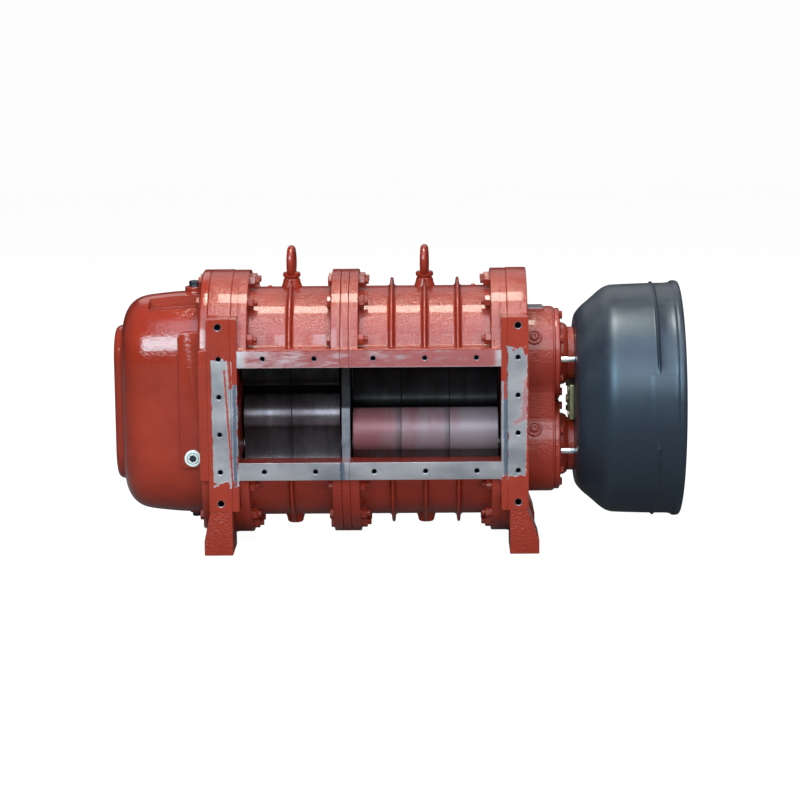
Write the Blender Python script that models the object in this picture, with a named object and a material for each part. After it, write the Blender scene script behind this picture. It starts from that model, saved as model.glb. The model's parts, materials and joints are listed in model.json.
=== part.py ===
"""Rotary lobe blower head: two shafts one above the other, a short and a long rotor chamber side by side.

Metres, +Z up. X runs along the shafts, from the timing gear case (-X) to the open shaft guard (+X). The front
port faces -Y. The origin is on the ground, under the middle of the machine's length and depth. Every casting,
plate, rotor section and fitting is an object of its own. The two shafts turn with their rotor sections.
"""

import math

import bmesh
import bpy
import numpy as np

# Heights above the ground
MID_Z = 0.334                    # halfway between the two shafts
HALF_GAP = 0.110                 # from there to either shaft
SHAFT_Z = {"lower": MID_Z - HALF_GAP, "upper": MID_Z + HALF_GAP}

# Rotors
LOBES = 3
CHAMBER_R = 0.150                # bore of each chamber
END_CLEARANCE = 0.005            # rotor end to chamber wall
LOBE_SHRINK = 0.0028             # what each of two meshing rotors gives up
SECTION_LENGTH = 0.115           # one rotor section
SECTION_SEAM = 0.0003            # between neighbours on a shaft
LONG_CHAMBER_LOBE = math.radians(32.0)    # lower rotor's lobe, from straight out of the front upwards
SHORT_CHAMBER_LOBE = math.radians(62.0)
SHAFT_R = 0.035
SHAFT_RUNNING_GAP = 0.0005
SHAFT_PRESS_GAP = 0.0003

# Outlines seen along the shafts, heights from MID_Z
FACE_Y = 0.215                   # machined port face, from the shafts' plane
PORT_HALF_H = 0.1125
RAIL_HALF_H = 0.155              # outer edge of the rails above and below the port
POST_HALF_H = 0.2295             # ends of the posts beside the port
FLANGE_R = 0.208
BARREL_R = 0.166
RIB_R = 0.186

# Thicknesses along the shafts
SHORT_LEN = 2 * SECTION_LENGTH + 2 * END_CLEARANCE
LONG_LEN = 3 * SECTION_LENGTH + 2 * END_CLEARANCE
MIDDLE_PLATE_T = 0.020
LEFT_WALL_T = 0.016              # casing's own end wall, also the bare edge beside the port
RIGHT_WALL_T = 0.015
LEFT_PLATE_T = 0.054
RIGHT_PLATE_T = 0.048
GEAR_FLANGE_T = 0.020
END_FLANGE_T = 0.022             # casing flange beyond its end wall
MID_FLANGE_T = 0.022
RIB_T = 0.016
SEAT_GAP = 0.0003                # between two pieces bolted face to face
CUT_PAST = 0.010                 # how far a cutter runs beyond what it cuts
INSET = 0.001                    # keeps a joined shape's end off its neighbour's face

# Stations along the shafts, worked out from the middle plate
MIDDLE_PLATE_X = -0.119
SHORT_X1 = MIDDLE_PLATE_X - MIDDLE_PLATE_T / 2
SHORT_X0 = SHORT_X1 - SHORT_LEN
LONG_X0 = MIDDLE_PLATE_X + MIDDLE_PLATE_T / 2
LONG_X1 = LONG_X0 + LONG_LEN
LEFT_PLATE_X1 = SHORT_X0 - LEFT_WALL_T
LEFT_PLATE_X0 = LEFT_PLATE_X1 - LEFT_PLATE_T
RIGHT_PLATE_X0 = LONG_X1 + RIGHT_WALL_T
RIGHT_PLATE_X1 = RIGHT_PLATE_X0 + RIGHT_PLATE_T
GEAR_FLANGE_X0 = LEFT_PLATE_X0 - GEAR_FLANGE_T
SHORT_MID = (SHORT_X0 + SHORT_X1) / 2
LONG_MID = (LONG_X0 + LONG_X1) / 2

# Tapped holes in the port faces
HOLE_PITCH_X = 0.120
HOLE_R = 0.0051
END_HOLE_R = 0.0072
HOLE_DEPTH = 0.028
RAIL_HOLE_Z = 0.1338
POST_HOLES_Z = (0.0446, RAIL_HOLE_Z)
POST_END_HOLE_Z = 0.2088
REAR_BAR = 0.024                 # casing left beside each rear port

# Middle plate's edge inside the front port: its lower part stands further out
STEP_Z = 0.004
LOWER_EDGE_Y = 0.145
UPPER_EDGE_Y = 0.117

# Feet, part of the end plates
FOOT_DEPTH = 0.124
FOOT_TOE = {"left": 0.015, "right": 0.026}   # how far the sole runs out beyond the end plate
FOOT_INSET = {"left": 0.001, "right": 0.0045}  # from the plate's inner face to the foot's
FOOT_PAD_H = 0.034
TOE_CLEARANCE = 0.002            # left toes to the gear case flange

# Lifting eyes and the bosses that carry them
BOSS_R = 0.022
BOSS_TOP = 0.298
LOW_BOSS_R = 0.021
EYE_RING_R = 0.0295
EYE_WIRE_R = 0.0085
EYE_TOP = 0.376
EYE_COLLAR_R = 0.021
EYE_COLLAR_T = 0.012
RIB_SPREAD = 0.078               # long casing's outer ribs, from its middle

# Gear case: (distance left of its flange, radius about each shaft)
GEAR_CASE_PROFILE = (
    (0.000, 0.1580),
    (0.065, 0.1565),
    (0.108, 0.1520),
    (0.137, 0.1480),
    (0.157, 0.1410),
    (0.173, 0.1290),
    (0.184, 0.1140),
    (0.191, 0.0980),
    (0.194, 0.0820),
    (0.195, 0.0770),
    (0.206, 0.0745),
    (0.213, 0.0680),
    (0.215, 0.0580),
)
POCKET_X = (-0.127, 0.0)         # bolt pocket at the upper front corner, from the flange
POCKET_WALL_Y = 0.040
POCKET_FLOOR_Z = 0.236
PAD_X = (-0.052, 0.002)          # raised pad on the front, from the flange
PAD_OUT_Y = 0.163
PAD_Z = (-0.134, 0.150)
FILLER_X = -0.022
FILLER_BOSS_TOP = 0.279
FILLER_BOSS_R = 0.024
FILLER_R = 0.0145
FILLER_H = 0.014
DRAIN_X = -0.030
DRAIN_R = 0.010
DRAIN_BOSS_R = 0.016
DRAIN_BOSS_DROP = 0.004
DRAIN_DROP = 0.010
LEVEL_X = -0.021
LEVEL_Z = -0.109
LEVEL_R = 0.020
LEVEL_T = 0.008
LEVEL_HEX_R = 0.0098
LEVEL_HEX_DEPTH = 0.005

# Bearing housing and its covers
HOUSING_R = 0.114
HOUSING_WAIST = 0.090
HOUSING_LEN = 0.067
TOP_PAD = (0.042, 0.040, 0.2245)  # length, half depth, top
NIPPLE_X = 0.018                 # from the right end plate
NIPPLE_TURN = math.radians(28.0)  # from straight out of the front upwards
NIPPLE_R = 0.0135
NIPPLE_H = 0.012
COVER_R = 0.109
COVER_T = 0.0135
COVER_NECK_LEN = 0.035
COVER_PROFILE = ((0.000, 0.0750), (0.008, 0.0740), (0.018, 0.0680), (0.019, 0.0640), (COVER_NECK_LEN, 0.0640))
UPPER_SHAFT_POCKET = 0.004

# Stand-off pins between the covers and the guard
PIN_Y = 0.096
PIN_R = 0.007

# Shaft guard: outer profile as (distance from its back, radius)
GUARD_PROFILE = (
    (0.0000, 0.1920),
    (0.0010, 0.1980),
    (0.0040, 0.2070),
    (0.0135, 0.2184),
    (0.0225, 0.2271),
    (0.0325, 0.2351),
    (0.0515, 0.2517),
    (0.0605, 0.2598),
    (0.0705, 0.2664),
    (0.0805, 0.2708),
    (0.0895, 0.2729),
    (0.1150, 0.2742),
    (0.1765, 0.2762),
    (0.1855, 0.2806),
    (0.1945, 0.2766),
    (0.2255, 0.2766),
    (0.2335, 0.2826),
    (0.2435, 0.2820),
    (0.2495, 0.2790),
)
GUARD_WALL = 0.005
GUARD_CENTRE_R = 0.008           # bolt hole in the middle of the guard's back
NECK_HOLE_R = 0.0683
NECK_HOLE_STEPS = 30             # keeps its corners off the guard's own radial edges
BRACKET_X = (-0.0123, -0.0003)   # stiffening bar on the guard's back
BRACKET_HALF = (0.060, 0.042)
SHAFT_STUB = 0.1135              # driven shaft, beyond the guard's back
SHAFT_CHAMFER = 0.002

# Mesh fineness
ARC_STEPS = 20                   # in a half circle of the large castings
TURN_STEPS = 48                  # guard
ROUND_STEPS = 32                 # shafts and their bores
SMALL_STEPS = 10                 # tapped holes
FLANK_STEPS = 8                  # head or hollow of a lobe's flank

COVER_X0 = RIGHT_PLATE_X1 + HOUSING_LEN
COVER_FACE_X = COVER_X0 + COVER_T
GUARD_X0 = COVER_FACE_X + COVER_NECK_LEN

# Slot: base colour, metallic, roughness
MATERIALS = {
    "red_enamel": ((0.42, 0.055, 0.030), 0.0, 0.30),
    "machined_iron": ((0.42, 0.44, 0.47), 0.9, 0.42),
    "rotor_iron": ((0.20, 0.17, 0.18), 0.9, 0.40),
    "black_guard": ((0.030, 0.036, 0.045), 0.0, 0.42),
    "zinc_steel": ((0.75, 0.77, 0.78), 0.9, 0.30),
    "yellow_zinc": ((0.45, 0.40, 0.22), 0.8, 0.42),
    "dark_plug": ((0.05, 0.06, 0.08), 0.6, 0.40),
}


def clear_scene():
    for old in list(bpy.data.objects):
        bpy.data.objects.remove(old, do_unlink=True)


def material(slot):
    """The slot's Principled material, made on first use."""
    found = bpy.data.materials.get(slot)
    if found:
        return found
    colour, metallic, roughness = MATERIALS[slot]
    made = bpy.data.materials.new(slot)
    made.use_nodes = True
    shader = made.node_tree.nodes["Principled BSDF"]
    shader.inputs["Base Color"].default_value = (*colour, 1.0)
    shader.inputs["Metallic"].default_value = metallic
    shader.inputs["Roughness"].default_value = roughness
    return made


def add_object(name, bm, slot, smooth_angle=35.0):
    """Turns a bmesh into a named object with outward faces and its material."""
    bmesh.ops.recalc_face_normals(bm, faces=bm.faces)
    mesh = bpy.data.meshes.new(name)
    bm.to_mesh(mesh)
    bm.free()
    mesh.materials.append(material(slot))
    mesh.shade_smooth()
    mesh.set_sharp_from_angle(angle=math.radians(smooth_angle))
    made = bpy.data.objects.new(name, mesh)
    bpy.context.scene.collection.objects.link(made)
    return made


def combine(target, operation, *tools):
    """Joins the tools to the target, or cuts them from it. A tool is no piece of its own."""
    for tool in tools:
        change = target.modifiers.new(tool.name, "BOOLEAN")
        change.operation = operation
        change.solver = "EXACT"
        change.object = tool
        tool.hide_render = True
        tool.display_type = "WIRE"


def loft(bm, rings, closed=False):
    """Joins rings of equal size with quads. Open stacks get end caps, closed ones join last to first."""
    loops = [[bm.verts.new(point) for point in ring] for ring in rings]
    count = len(loops[0])
    pairs = list(zip(loops, loops[1:]))
    if closed:
        pairs.append((loops[-1], loops[0]))
    for here, there in pairs:
        for i in range(count):
            j = (i + 1) % count
            bm.faces.new((here[i], here[j], there[j], there[i]))
    if not closed:
        bm.faces.new(loops[0])
        bm.faces.new(list(reversed(loops[-1])))
    return bm


def across(x, outline):
    """An outline of (y, z from MID_Z) as points at station x."""
    return [(x, y, MID_Z + z) for y, z in outline]


def prism(name, outline, x0, x1, slot="red_enamel"):
    return add_object(name, loft(bmesh.new(), [across(x0, outline), across(x1, outline)]), slot)


def box(name, x_range, y_range, z_range, slot="red_enamel"):
    """A box between two corners, with heights from MID_Z."""
    (y0, y1), (z0, z1) = y_range, z_range
    return prism(name, [(y0, z0), (y1, z0), (y1, z1), (y0, z1)], *x_range, slot)


def arc(centre_z, radius, start, stop, steps=ARC_STEPS):
    """Points (y, z) on a circle about (0, centre_z)."""
    turn = np.linspace(start, stop, steps + 1)
    return list(zip(radius * np.cos(turn), centre_z + radius * np.sin(turn)))


def stadium(radius):
    """Both shafts' circles, joined by straight sides."""
    return arc(HALF_GAP, radius, 0.0, math.pi) + arc(-HALF_GAP, radius, math.pi, 2 * math.pi)


def waisted(radius, waist):
    """Both shafts' circles, joined by flat sides at y = -waist and waist."""
    dip = math.acos(waist / radius)
    upper = arc(HALF_GAP, radius, -dip, math.pi + dip, ARC_STEPS + 4)
    lower = arc(-HALF_GAP, radius, math.pi - dip, 2 * math.pi + dip, ARC_STEPS + 4)
    return upper + lower


def twin_bores(radius):
    """Two overlapping circles, one about each shaft, meeting in two points."""
    dip = math.asin(HALF_GAP / radius)
    upper = arc(HALF_GAP, radius, -dip, math.pi + dip, ARC_STEPS + 6)
    lower = arc(-HALF_GAP, radius, math.pi - dip, 2 * math.pi + dip, ARC_STEPS + 6)
    return upper[:-1] + lower[:-1]


def round_block(radius, half_height):
    """A rectangle out to both port faces, with the shafts' circles rising past its top and bottom.

    Blocks of one radius share their arc's points, whatever their height.
    """
    circle = arc(HALF_GAP, radius, 0.0, math.pi)
    for (y0, z0), (y1, z1) in zip(circle, circle[1:]):
        if z0 <= half_height < z1:
            meet_y = y0 + (y1 - y0) * (half_height - z0) / (z1 - z0)
    above = [(meet_y, half_height), *(p for p in circle if p[1] > half_height), (-meet_y, half_height)]
    upper = [(FACE_Y, half_height), *above, (-FACE_Y, half_height)]
    return upper + [(-y, -z) for y, z in upper]


def turned(name, profile, x0, z, slot, steps=ROUND_STEPS, closed=False, y=0.0):
    """Carries a profile of (distance along X, radius) round the axis at depth y and height z."""
    turn = np.linspace(0.0, 2 * math.pi, steps, endpoint=False)
    rings = [[(x0 + along, y + radius * math.cos(a), z + radius * math.sin(a)) for a in turn]
             for along, radius in profile]
    return add_object(name, loft(bmesh.new(), rings, closed), slot)


def cut_shaft_bore(target, x0, x1, which, gap):
    """A bore whose flats clear the round shaft by gap."""
    radius = (SHAFT_R + gap) / math.cos(math.pi / ROUND_STEPS)
    tool = turned(f"{target.name}_{which}_bore", ((0.0, radius), (x1 - x0, radius)), x0, SHAFT_Z[which],
                  "machined_iron")
    combine(target, "DIFFERENCE", tool)


def cut_shaft_bores(target, x0, x1):
    for which in SHAFT_Z:
        cut_shaft_bore(target, x0 - CUT_PAST, x1 + CUT_PAST, which, SHAFT_RUNNING_GAP)


def upright(name, x, z0, z1, radius, slot="red_enamel", steps=24):
    """A vertical round above the shafts' plane, between two heights from MID_Z."""
    turn = np.linspace(0.0, 2 * math.pi, steps, endpoint=False)
    rings = [[(x + radius * math.cos(a), radius * math.sin(a), MID_Z + z) for a in turn] for z in (z0, z1)]
    return add_object(name, loft(bmesh.new(), rings), slot)


def stud(name, base, direction, levels, slot, steps=24):
    """A turned stud in the Y-Z plane: levels are (distance out along direction, radius)."""
    out = np.array((0.0, *direction))
    along = np.array((1.0, 0.0, 0.0))
    side = np.cross(out, along)
    turn = np.linspace(0.0, 2 * math.pi, steps, endpoint=False)
    rings = [[np.array(base) + distance * out + radius * (math.cos(a) * along + math.sin(a) * side) for a in turn]
             for distance, radius in levels]
    return add_object(name, loft(bmesh.new(), rings), slot)


def hole_cutters(name, holes):
    """One cutter of many blind holes in the two port faces: holes are (x, z, radius)."""
    bm = bmesh.new()
    turn = np.linspace(0.0, 2 * math.pi, SMALL_STEPS, endpoint=False)
    for side in (-1, 1):
        for x, z, radius in holes:
            depths = (side * (FACE_Y + CUT_PAST), side * (FACE_Y - HOLE_DEPTH))
            loft(bm, [[(x + radius * math.cos(a), y, MID_Z + z + radius * math.sin(a)) for a in turn] for y in depths])
    return add_object(name, bm, "machined_iron")


def make_casing(name, chamber, wall_side, wall, ribs_x, boss_x, holes_x):
    """A barrel round both rotors, with its end wall, flanges, ribs, bosses, rails and ports.

    The end wall stands outside the chamber on wall_side, -1 or 1; the other end is open to the middle plate.
    """
    x0, x1 = chamber
    left = x0 - (wall if wall_side < 0 else 0.0) + SEAT_GAP
    right = x1 + (wall if wall_side > 0 else 0.0) - SEAT_GAP
    left_flange = END_FLANGE_T + wall if wall_side < 0 else MID_FLANGE_T
    right_flange = END_FLANGE_T + wall if wall_side > 0 else MID_FLANGE_T
    wall_x0, wall_x1 = (left, x0) if wall_side < 0 else (x1, right)
    open_x0 = x0 if wall_side < 0 else x0 - CUT_PAST
    open_x1 = x1 if wall_side > 0 else x1 + CUT_PAST
    barrel_top = HALF_GAP + BARREL_R
    casing = prism(name, round_block(BARREL_R, RAIL_HALF_H), left + INSET, right - INSET)
    flange = round_block(FLANGE_R, RAIL_HALF_H)
    within = wall / 2
    left_start = left + within if wall_side < 0 else left
    right_end = right - within if wall_side > 0 else right
    combine(casing, "UNION", prism(f"{name}_post_edge", round_block(FLANGE_R, POST_HALF_H), wall_x0, wall_x1),
            prism(f"{name}_left_flange", flange, left_start, left + left_flange),
            prism(f"{name}_right_flange", flange, right - right_flange, right_end))
    for i, x in enumerate(ribs_x):
        combine(casing, "UNION", prism(f"{name}_rib_{i}", stadium(RIB_R), x - RIB_T / 2, x + RIB_T / 2))
    combine(casing, "UNION", upright(f"{name}_top_boss", boss_x, barrel_top - 0.01, BOSS_TOP, BOSS_R),
            upright(f"{name}_low_boss", boss_x, -BOSS_TOP, -barrel_top + 0.01, LOW_BOSS_R))
    port_z = (-PORT_HALF_H, PORT_HALF_H)
    inner_y = 0.05
    combine(casing, "DIFFERENCE", prism(f"{name}_bores", twin_bores(CHAMBER_R), open_x0, open_x1),
            box(f"{name}_front_port", (open_x0, open_x1), (-FACE_Y - CUT_PAST, -inner_y), port_z),
            box(f"{name}_rear_port", (x0 + REAR_BAR, x1 - REAR_BAR), (inner_y, FACE_Y + CUT_PAST), port_z),
            hole_cutters(f"{name}_holes", [(x, z, HOLE_R) for x in holes_x for z in (-RAIL_HOLE_Z, RAIL_HOLE_Z)]))
    cut_shaft_bores(casing, wall_x0, wall_x1)


def make_casings():
    half = HOLE_PITCH_X / 2
    make_casing("left_casing", (SHORT_X0, SHORT_X1), -1, LEFT_WALL_T, (SHORT_MID,), SHORT_MID,
                (SHORT_MID - half, SHORT_MID + half))
    make_casing("right_casing", (LONG_X0, LONG_X1), 1, RIGHT_WALL_T,
                (LONG_MID - RIB_SPREAD, LONG_MID, LONG_MID + RIB_SPREAD), LONG_MID,
                (LONG_MID - HOLE_PITCH_X, LONG_MID, LONG_MID + HOLE_PITCH_X))


def make_middle_plate():
    middle = prism("middle_plate", round_block(FLANGE_R, RAIL_HALF_H), SHORT_X1, LONG_X0)
    span = (SHORT_X1 - CUT_PAST, LONG_X0 + CUT_PAST)
    out = -FACE_Y - CUT_PAST
    combine(middle, "DIFFERENCE",
            box("middle_plate_upper_notch", span, (out, -UPPER_EDGE_Y), (STEP_Z, PORT_HALF_H)),
            box("middle_plate_lower_notch", span, (out, -LOWER_EDGE_Y), (-PORT_HALF_H, STEP_Z + INSET)))
    cut_shaft_bores(middle, SHORT_X1, LONG_X0)


def make_foot(side, end, inner, outer, out):
    """One foot: straight on its inner side, running out towards the sole on the other."""
    sign = -1 if end == "front" else 1
    toe = outer + out * FOOT_TOE[side]
    outline = [(inner, -POST_HALF_H + 0.02), (outer, -POST_HALF_H + 0.02), (outer, -POST_HALF_H),
               (toe, -MID_Z + FOOT_PAD_H), (toe, -MID_Z), (inner, -MID_Z)]
    rings = [[(x, y, MID_Z + z) for x, z in outline]
             for y in (sign * (FACE_Y - INSET), sign * (FACE_Y - FOOT_DEPTH))]
    return add_object(f"{side}_{end}_foot", loft(bmesh.new(), rings), "red_enamel")


def make_end_plates():
    """The two end plates, each with its posts beside the ports and its two feet."""
    sides = (("left", LEFT_PLATE_X0, LEFT_PLATE_X1, -1), ("right", RIGHT_PLATE_X0, RIGHT_PLATE_X1, 1))
    for side, x0, x1, out in sides:
        plate = prism(f"{side}_end_plate", round_block(FLANGE_R, POST_HALF_H), x0, x1)
        inset = FOOT_INSET[side]
        inner, outer = (x1 - inset, x0 + INSET) if out < 0 else (x0 + inset, x1 - INSET)
        combine(plate, "UNION", make_foot(side, "front", inner, outer, out), make_foot(side, "rear", inner, outer, out))
        if side == "left":
            room = prism("gear_flange_room", stadium(FLANGE_R + TOE_CLEARANCE), x0 - 0.05, x0)
            combine(plate, "DIFFERENCE", room)
        mid = (x0 + x1) / 2
        holes = [(mid, sign * z, HOLE_R) for z in POST_HOLES_Z for sign in (-1, 1)]
        holes += [(mid, sign * POST_END_HOLE_Z, END_HOLE_R) for sign in (-1, 1)]
        combine(plate, "DIFFERENCE", hole_cutters(f"{side}_post_holes", holes))
        cut_shaft_bores(plate, x0, x1)


def make_gear_case():
    """The domed case of the timing gears, with its flange, bolt pocket and front pad."""
    face = GEAR_FLANGE_X0
    case = prism("gear_case", round_block(FLANGE_R, RAIL_HALF_H), face, LEFT_PLATE_X0 - SEAT_GAP)
    rings = [across(face + GEAR_FLANGE_T / 2, stadium(GEAR_CASE_PROFILE[0][1]))]
    rings += [across(face - along, stadium(radius)) for along, radius in GEAR_CASE_PROFILE]
    bottom = -HALF_GAP - GEAR_CASE_PROFILE[0][1]
    combine(case, "UNION", add_object("gear_dome", loft(bmesh.new(), rings), "red_enamel"),
            box("gear_front_pad", (face + PAD_X[0], face + PAD_X[1]), (-PAD_OUT_Y, -0.08), PAD_Z),
            upright("filler_boss", face + FILLER_X, 0.24, FILLER_BOSS_TOP, FILLER_BOSS_R),
            upright("drain_boss", face + DRAIN_X, bottom - DRAIN_BOSS_DROP, bottom + 0.03, DRAIN_BOSS_R))
    pocket_x = (face + POCKET_X[0], face + POCKET_X[1])
    combine(case, "DIFFERENCE", box("bolt_pocket", pocket_x, (-0.25, -POCKET_WALL_Y), (POCKET_FLOOR_Z, 0.32)))
    make_oil_plugs(face, bottom - DRAIN_BOSS_DROP)


def make_oil_plugs(face, drain_top):
    """The filler plug on top of the gear case, the drain plug under it and the level plug on its front pad."""
    upright("oil_filler_plug", face + FILLER_X, FILLER_BOSS_TOP + SEAT_GAP, FILLER_BOSS_TOP + FILLER_H, FILLER_R,
            "dark_plug", 6)
    upright("oil_drain_plug", face + DRAIN_X, drain_top - DRAIN_DROP, drain_top - SEAT_GAP, DRAIN_R, "dark_plug", 6)
    base = (face + LEVEL_X, -PAD_OUT_Y - SEAT_GAP, MID_Z + LEVEL_Z)
    edge = 0.002
    head = ((0.0, LEVEL_R), (LEVEL_T - edge, LEVEL_R), (LEVEL_T, LEVEL_R - edge))
    plug = stud("oil_level_plug", base, (-1.0, 0.0), head, "zinc_steel")
    socket = ((LEVEL_T - LEVEL_HEX_DEPTH, LEVEL_HEX_R), (LEVEL_T + CUT_PAST, LEVEL_HEX_R))
    combine(plug, "DIFFERENCE", stud("oil_level_socket", base, (-1.0, 0.0), socket, "zinc_steel", 6))


def make_bearing_housing():
    """Both right-hand bearings in one casting, with its top pad and grease nipples."""
    x0, x1 = RIGHT_PLATE_X1 + SEAT_GAP, COVER_X0 - SEAT_GAP
    housing = prism("bearing_housing", waisted(HOUSING_R, HOUSING_WAIST), x0, x1)
    length, half_depth, top = TOP_PAD
    combine(housing, "UNION", box("housing_top_pad", (x0, x0 + length), (-half_depth, half_depth), (0.17, top)))
    cut_shaft_bores(housing, x0, x1)
    direction = (-math.cos(NIPPLE_TURN), math.sin(NIPPLE_TURN))
    out = HOUSING_R + SEAT_GAP
    edge = 0.002
    levels = ((0.0, NIPPLE_R), (NIPPLE_H - edge, NIPPLE_R), (NIPPLE_H, NIPPLE_R - edge))
    for which, z in SHAFT_Z.items():
        base = (RIGHT_PLATE_X1 + NIPPLE_X, out * direction[0], z + out * direction[1])
        stud(f"{which}_grease_nipple", base, direction, levels, "red_enamel", 20)


def make_bearing_covers():
    """A flanged cover on each bearing. The lower one lets the driven shaft through."""
    for which, z in SHAFT_Z.items():
        profile = [(0.0, COVER_R), (COVER_T, COVER_R)] + [(COVER_T + along, radius) for along, radius in COVER_PROFILE]
        cover = turned(f"{which}_bearing_cover", profile, COVER_X0, z, "red_enamel")
        depth = COVER_T + (UPPER_SHAFT_POCKET if which == "upper" else 0.1)
        cut_shaft_bore(cover, COVER_X0 - CUT_PAST, COVER_X0 + depth, which, SHAFT_RUNNING_GAP)


def make_guard():
    """The bell-shaped shaft guard, open to the right, with its stiffening bar and four stand-off pins."""
    depth, mouth_r = GUARD_PROFILE[-1]
    inner = [(along + GUARD_WALL, radius - GUARD_WALL) for along, radius in GUARD_PROFILE if along + GUARD_WALL < depth]
    inner.append((depth, mouth_r - GUARD_WALL))
    profile = [(0.0, GUARD_CENTRE_R), *GUARD_PROFILE, *inner[::-1], (GUARD_WALL, GUARD_CENTRE_R)]
    guard = turned("shaft_guard", profile, GUARD_X0, MID_Z, "black_guard", TURN_STEPS, closed=True)
    tunnel = ((0.0, NECK_HOLE_R), (GUARD_WALL + 2 * CUT_PAST, NECK_HOLE_R))
    span = GUARD_X0 - COVER_FACE_X - 2 * SEAT_GAP
    for which, z in SHAFT_Z.items():
        combine(guard, "DIFFERENCE",
                turned(f"{which}_neck_hole", tunnel, GUARD_X0 - CUT_PAST, z, "black_guard", NECK_HOLE_STEPS))
        for end, sign in (("front", -1), ("rear", 1)):
            turned(f"{which}_{end}_pin", ((0.0, PIN_R), (span, PIN_R)), COVER_FACE_X + SEAT_GAP, z, "zinc_steel", 16,
                   y=sign * PIN_Y)
    half_y, half_z = BRACKET_HALF
    box("guard_bracket", (GUARD_X0 + BRACKET_X[0], GUARD_X0 + BRACKET_X[1]), (-half_y, half_y), (-half_z, half_z),
        "yellow_zinc")


def make_lifting_eyes():
    """A ring bolt on each casing, its ring standing across the shafts."""
    centre = MID_Z + EYE_TOP - EYE_RING_R - EYE_WIRE_R
    base = BOSS_TOP + SEAT_GAP
    for name, x in (("left_lifting_eye", SHORT_MID), ("right_lifting_eye", LONG_MID)):
        rings = []
        for a in np.linspace(0.0, 2 * math.pi, 24, endpoint=False):
            ring = []
            for b in np.linspace(0.0, 2 * math.pi, 10, endpoint=False):
                out = EYE_RING_R + EYE_WIRE_R * math.cos(b)
                ring.append((x + EYE_WIRE_R * math.sin(b), out * math.cos(a), centre + out * math.sin(a)))
            rings.append(ring)
        eye = add_object(name, loft(bmesh.new(), rings, closed=True), "red_enamel")
        combine(eye, "UNION", upright(f"{name}_collar", x, base, base + EYE_COLLAR_T, EYE_COLLAR_R, steps=20))


def lobe_profile():
    """A lobed rotor's outline, with a lobe along +u, drawn in by LOBE_SHRINK along its normal.

    A circle of radius a rolls outside the pitch circle for the lobe's head and inside it for the hollow, so two of
    these rotors mesh at equal speed. With p the pitch radius and s the roll, the head runs through
    (p + a) e^(i s a / p) - a e^(i s (a / p + 1)), and the hollow through the same with -a for a and -s for s.
    """
    pitch = HALF_GAP
    a = pitch / (2 * LOBES)
    roll = np.linspace(0.0, math.pi, FLANK_STEPS + 1)
    around = roll * a / pitch
    head = (pitch + a) * np.exp(1j * around) - a * np.exp(1j * (around + roll))
    hollow = (pitch - a) * np.exp(1j * around) + a * np.exp(1j * (around - roll))
    flank = math.pi / (2 * LOBES)
    radius = np.concatenate([np.abs(head)[::-1], np.abs(hollow)[1:]])
    angle = np.concatenate([flank - np.angle(head)[::-1], flank + np.angle(hollow)[1:]])
    lobe_radius = np.concatenate([radius[:-1], radius[:0:-1]])
    lobe_angle = np.concatenate([angle[:-1], 2 * angle[-1] - angle[:0:-1]])
    turn = np.concatenate([lobe_angle + 2 * math.pi * k / LOBES for k in range(LOBES)])
    points = np.tile(lobe_radius, LOBES) * np.exp(1j * turn)
    tangent = np.roll(points, -1) - np.roll(points, 1)
    return points + LOBE_SHRINK * 1j * tangent / np.abs(tangent)


def make_rotor_sections():
    """Five lobed sections on each shaft: two in the short chamber and three in the long one.

    The upper rotor's hollow mirrors the lower rotor's lobe, half a lobe's spacing away from its own lobe.
    """
    profile = lobe_profile()
    half_spacing = math.pi / LOBES
    chambers = (("short", SHORT_X0 + END_CLEARANCE, 2, SHORT_CHAMBER_LOBE),
                ("long", LONG_X0 + END_CLEARANCE, 3, LONG_CHAMBER_LOBE))
    for chamber, start, count, lean in chambers:
        for which, turn in (("lower", lean), ("upper", half_spacing - lean)):
            turned_profile = profile * np.exp(1j * turn)
            outline = list(zip(-turned_profile.real, turned_profile.imag + SHAFT_Z[which] - MID_Z))
            for i in range(count):
                x0 = start + i * SECTION_LENGTH + SECTION_SEAM / 2
                x1 = x0 + SECTION_LENGTH - SECTION_SEAM
                section = prism(f"{which}_{chamber}_rotor_{i + 1}", outline, x0, x1, "rotor_iron")
                cut_shaft_bore(section, x0 - CUT_PAST, x1 + CUT_PAST, which, SHAFT_PRESS_GAP)


def make_shafts():
    """The driven lower shaft, which ends inside the guard, and the upper shaft, which ends in its bearing cover."""
    x0 = LEFT_PLATE_X0 + INSET
    ends = {"lower": GUARD_X0 + SHAFT_STUB, "upper": COVER_FACE_X}
    for which, x1 in ends.items():
        length = x1 - x0
        small = SHAFT_R - SHAFT_CHAMFER
        profile = ((0.0, small), (SHAFT_CHAMFER, SHAFT_R), (length - SHAFT_CHAMFER, SHAFT_R), (length, small))
        turned(f"{which}_shaft", profile, x0, SHAFT_Z[which], "machined_iron")


def main():
    clear_scene()
    make_casings()
    make_middle_plate()
    make_end_plates()
    make_gear_case()
    make_bearing_housing()
    make_bearing_covers()
    make_guard()
    make_lifting_eyes()
    make_rotor_sections()
    make_shafts()


main()
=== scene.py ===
# %% [markdown]
# A rotary lobe blower head: two shafts, one above the other, turn meshing three-lobe rotors in a short and a long
# chamber. The castings are thickly painted red, the port face in front is bare milled iron, and a black sheet
# guard stands round the driven shaft's end. The solid model comes in as a fixed frame. Each cell below dresses
# one part of it in the same metres, so a piece only has to be made where the frame says it is.

# %% The frame and its driving sizes
import json
import math

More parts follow.
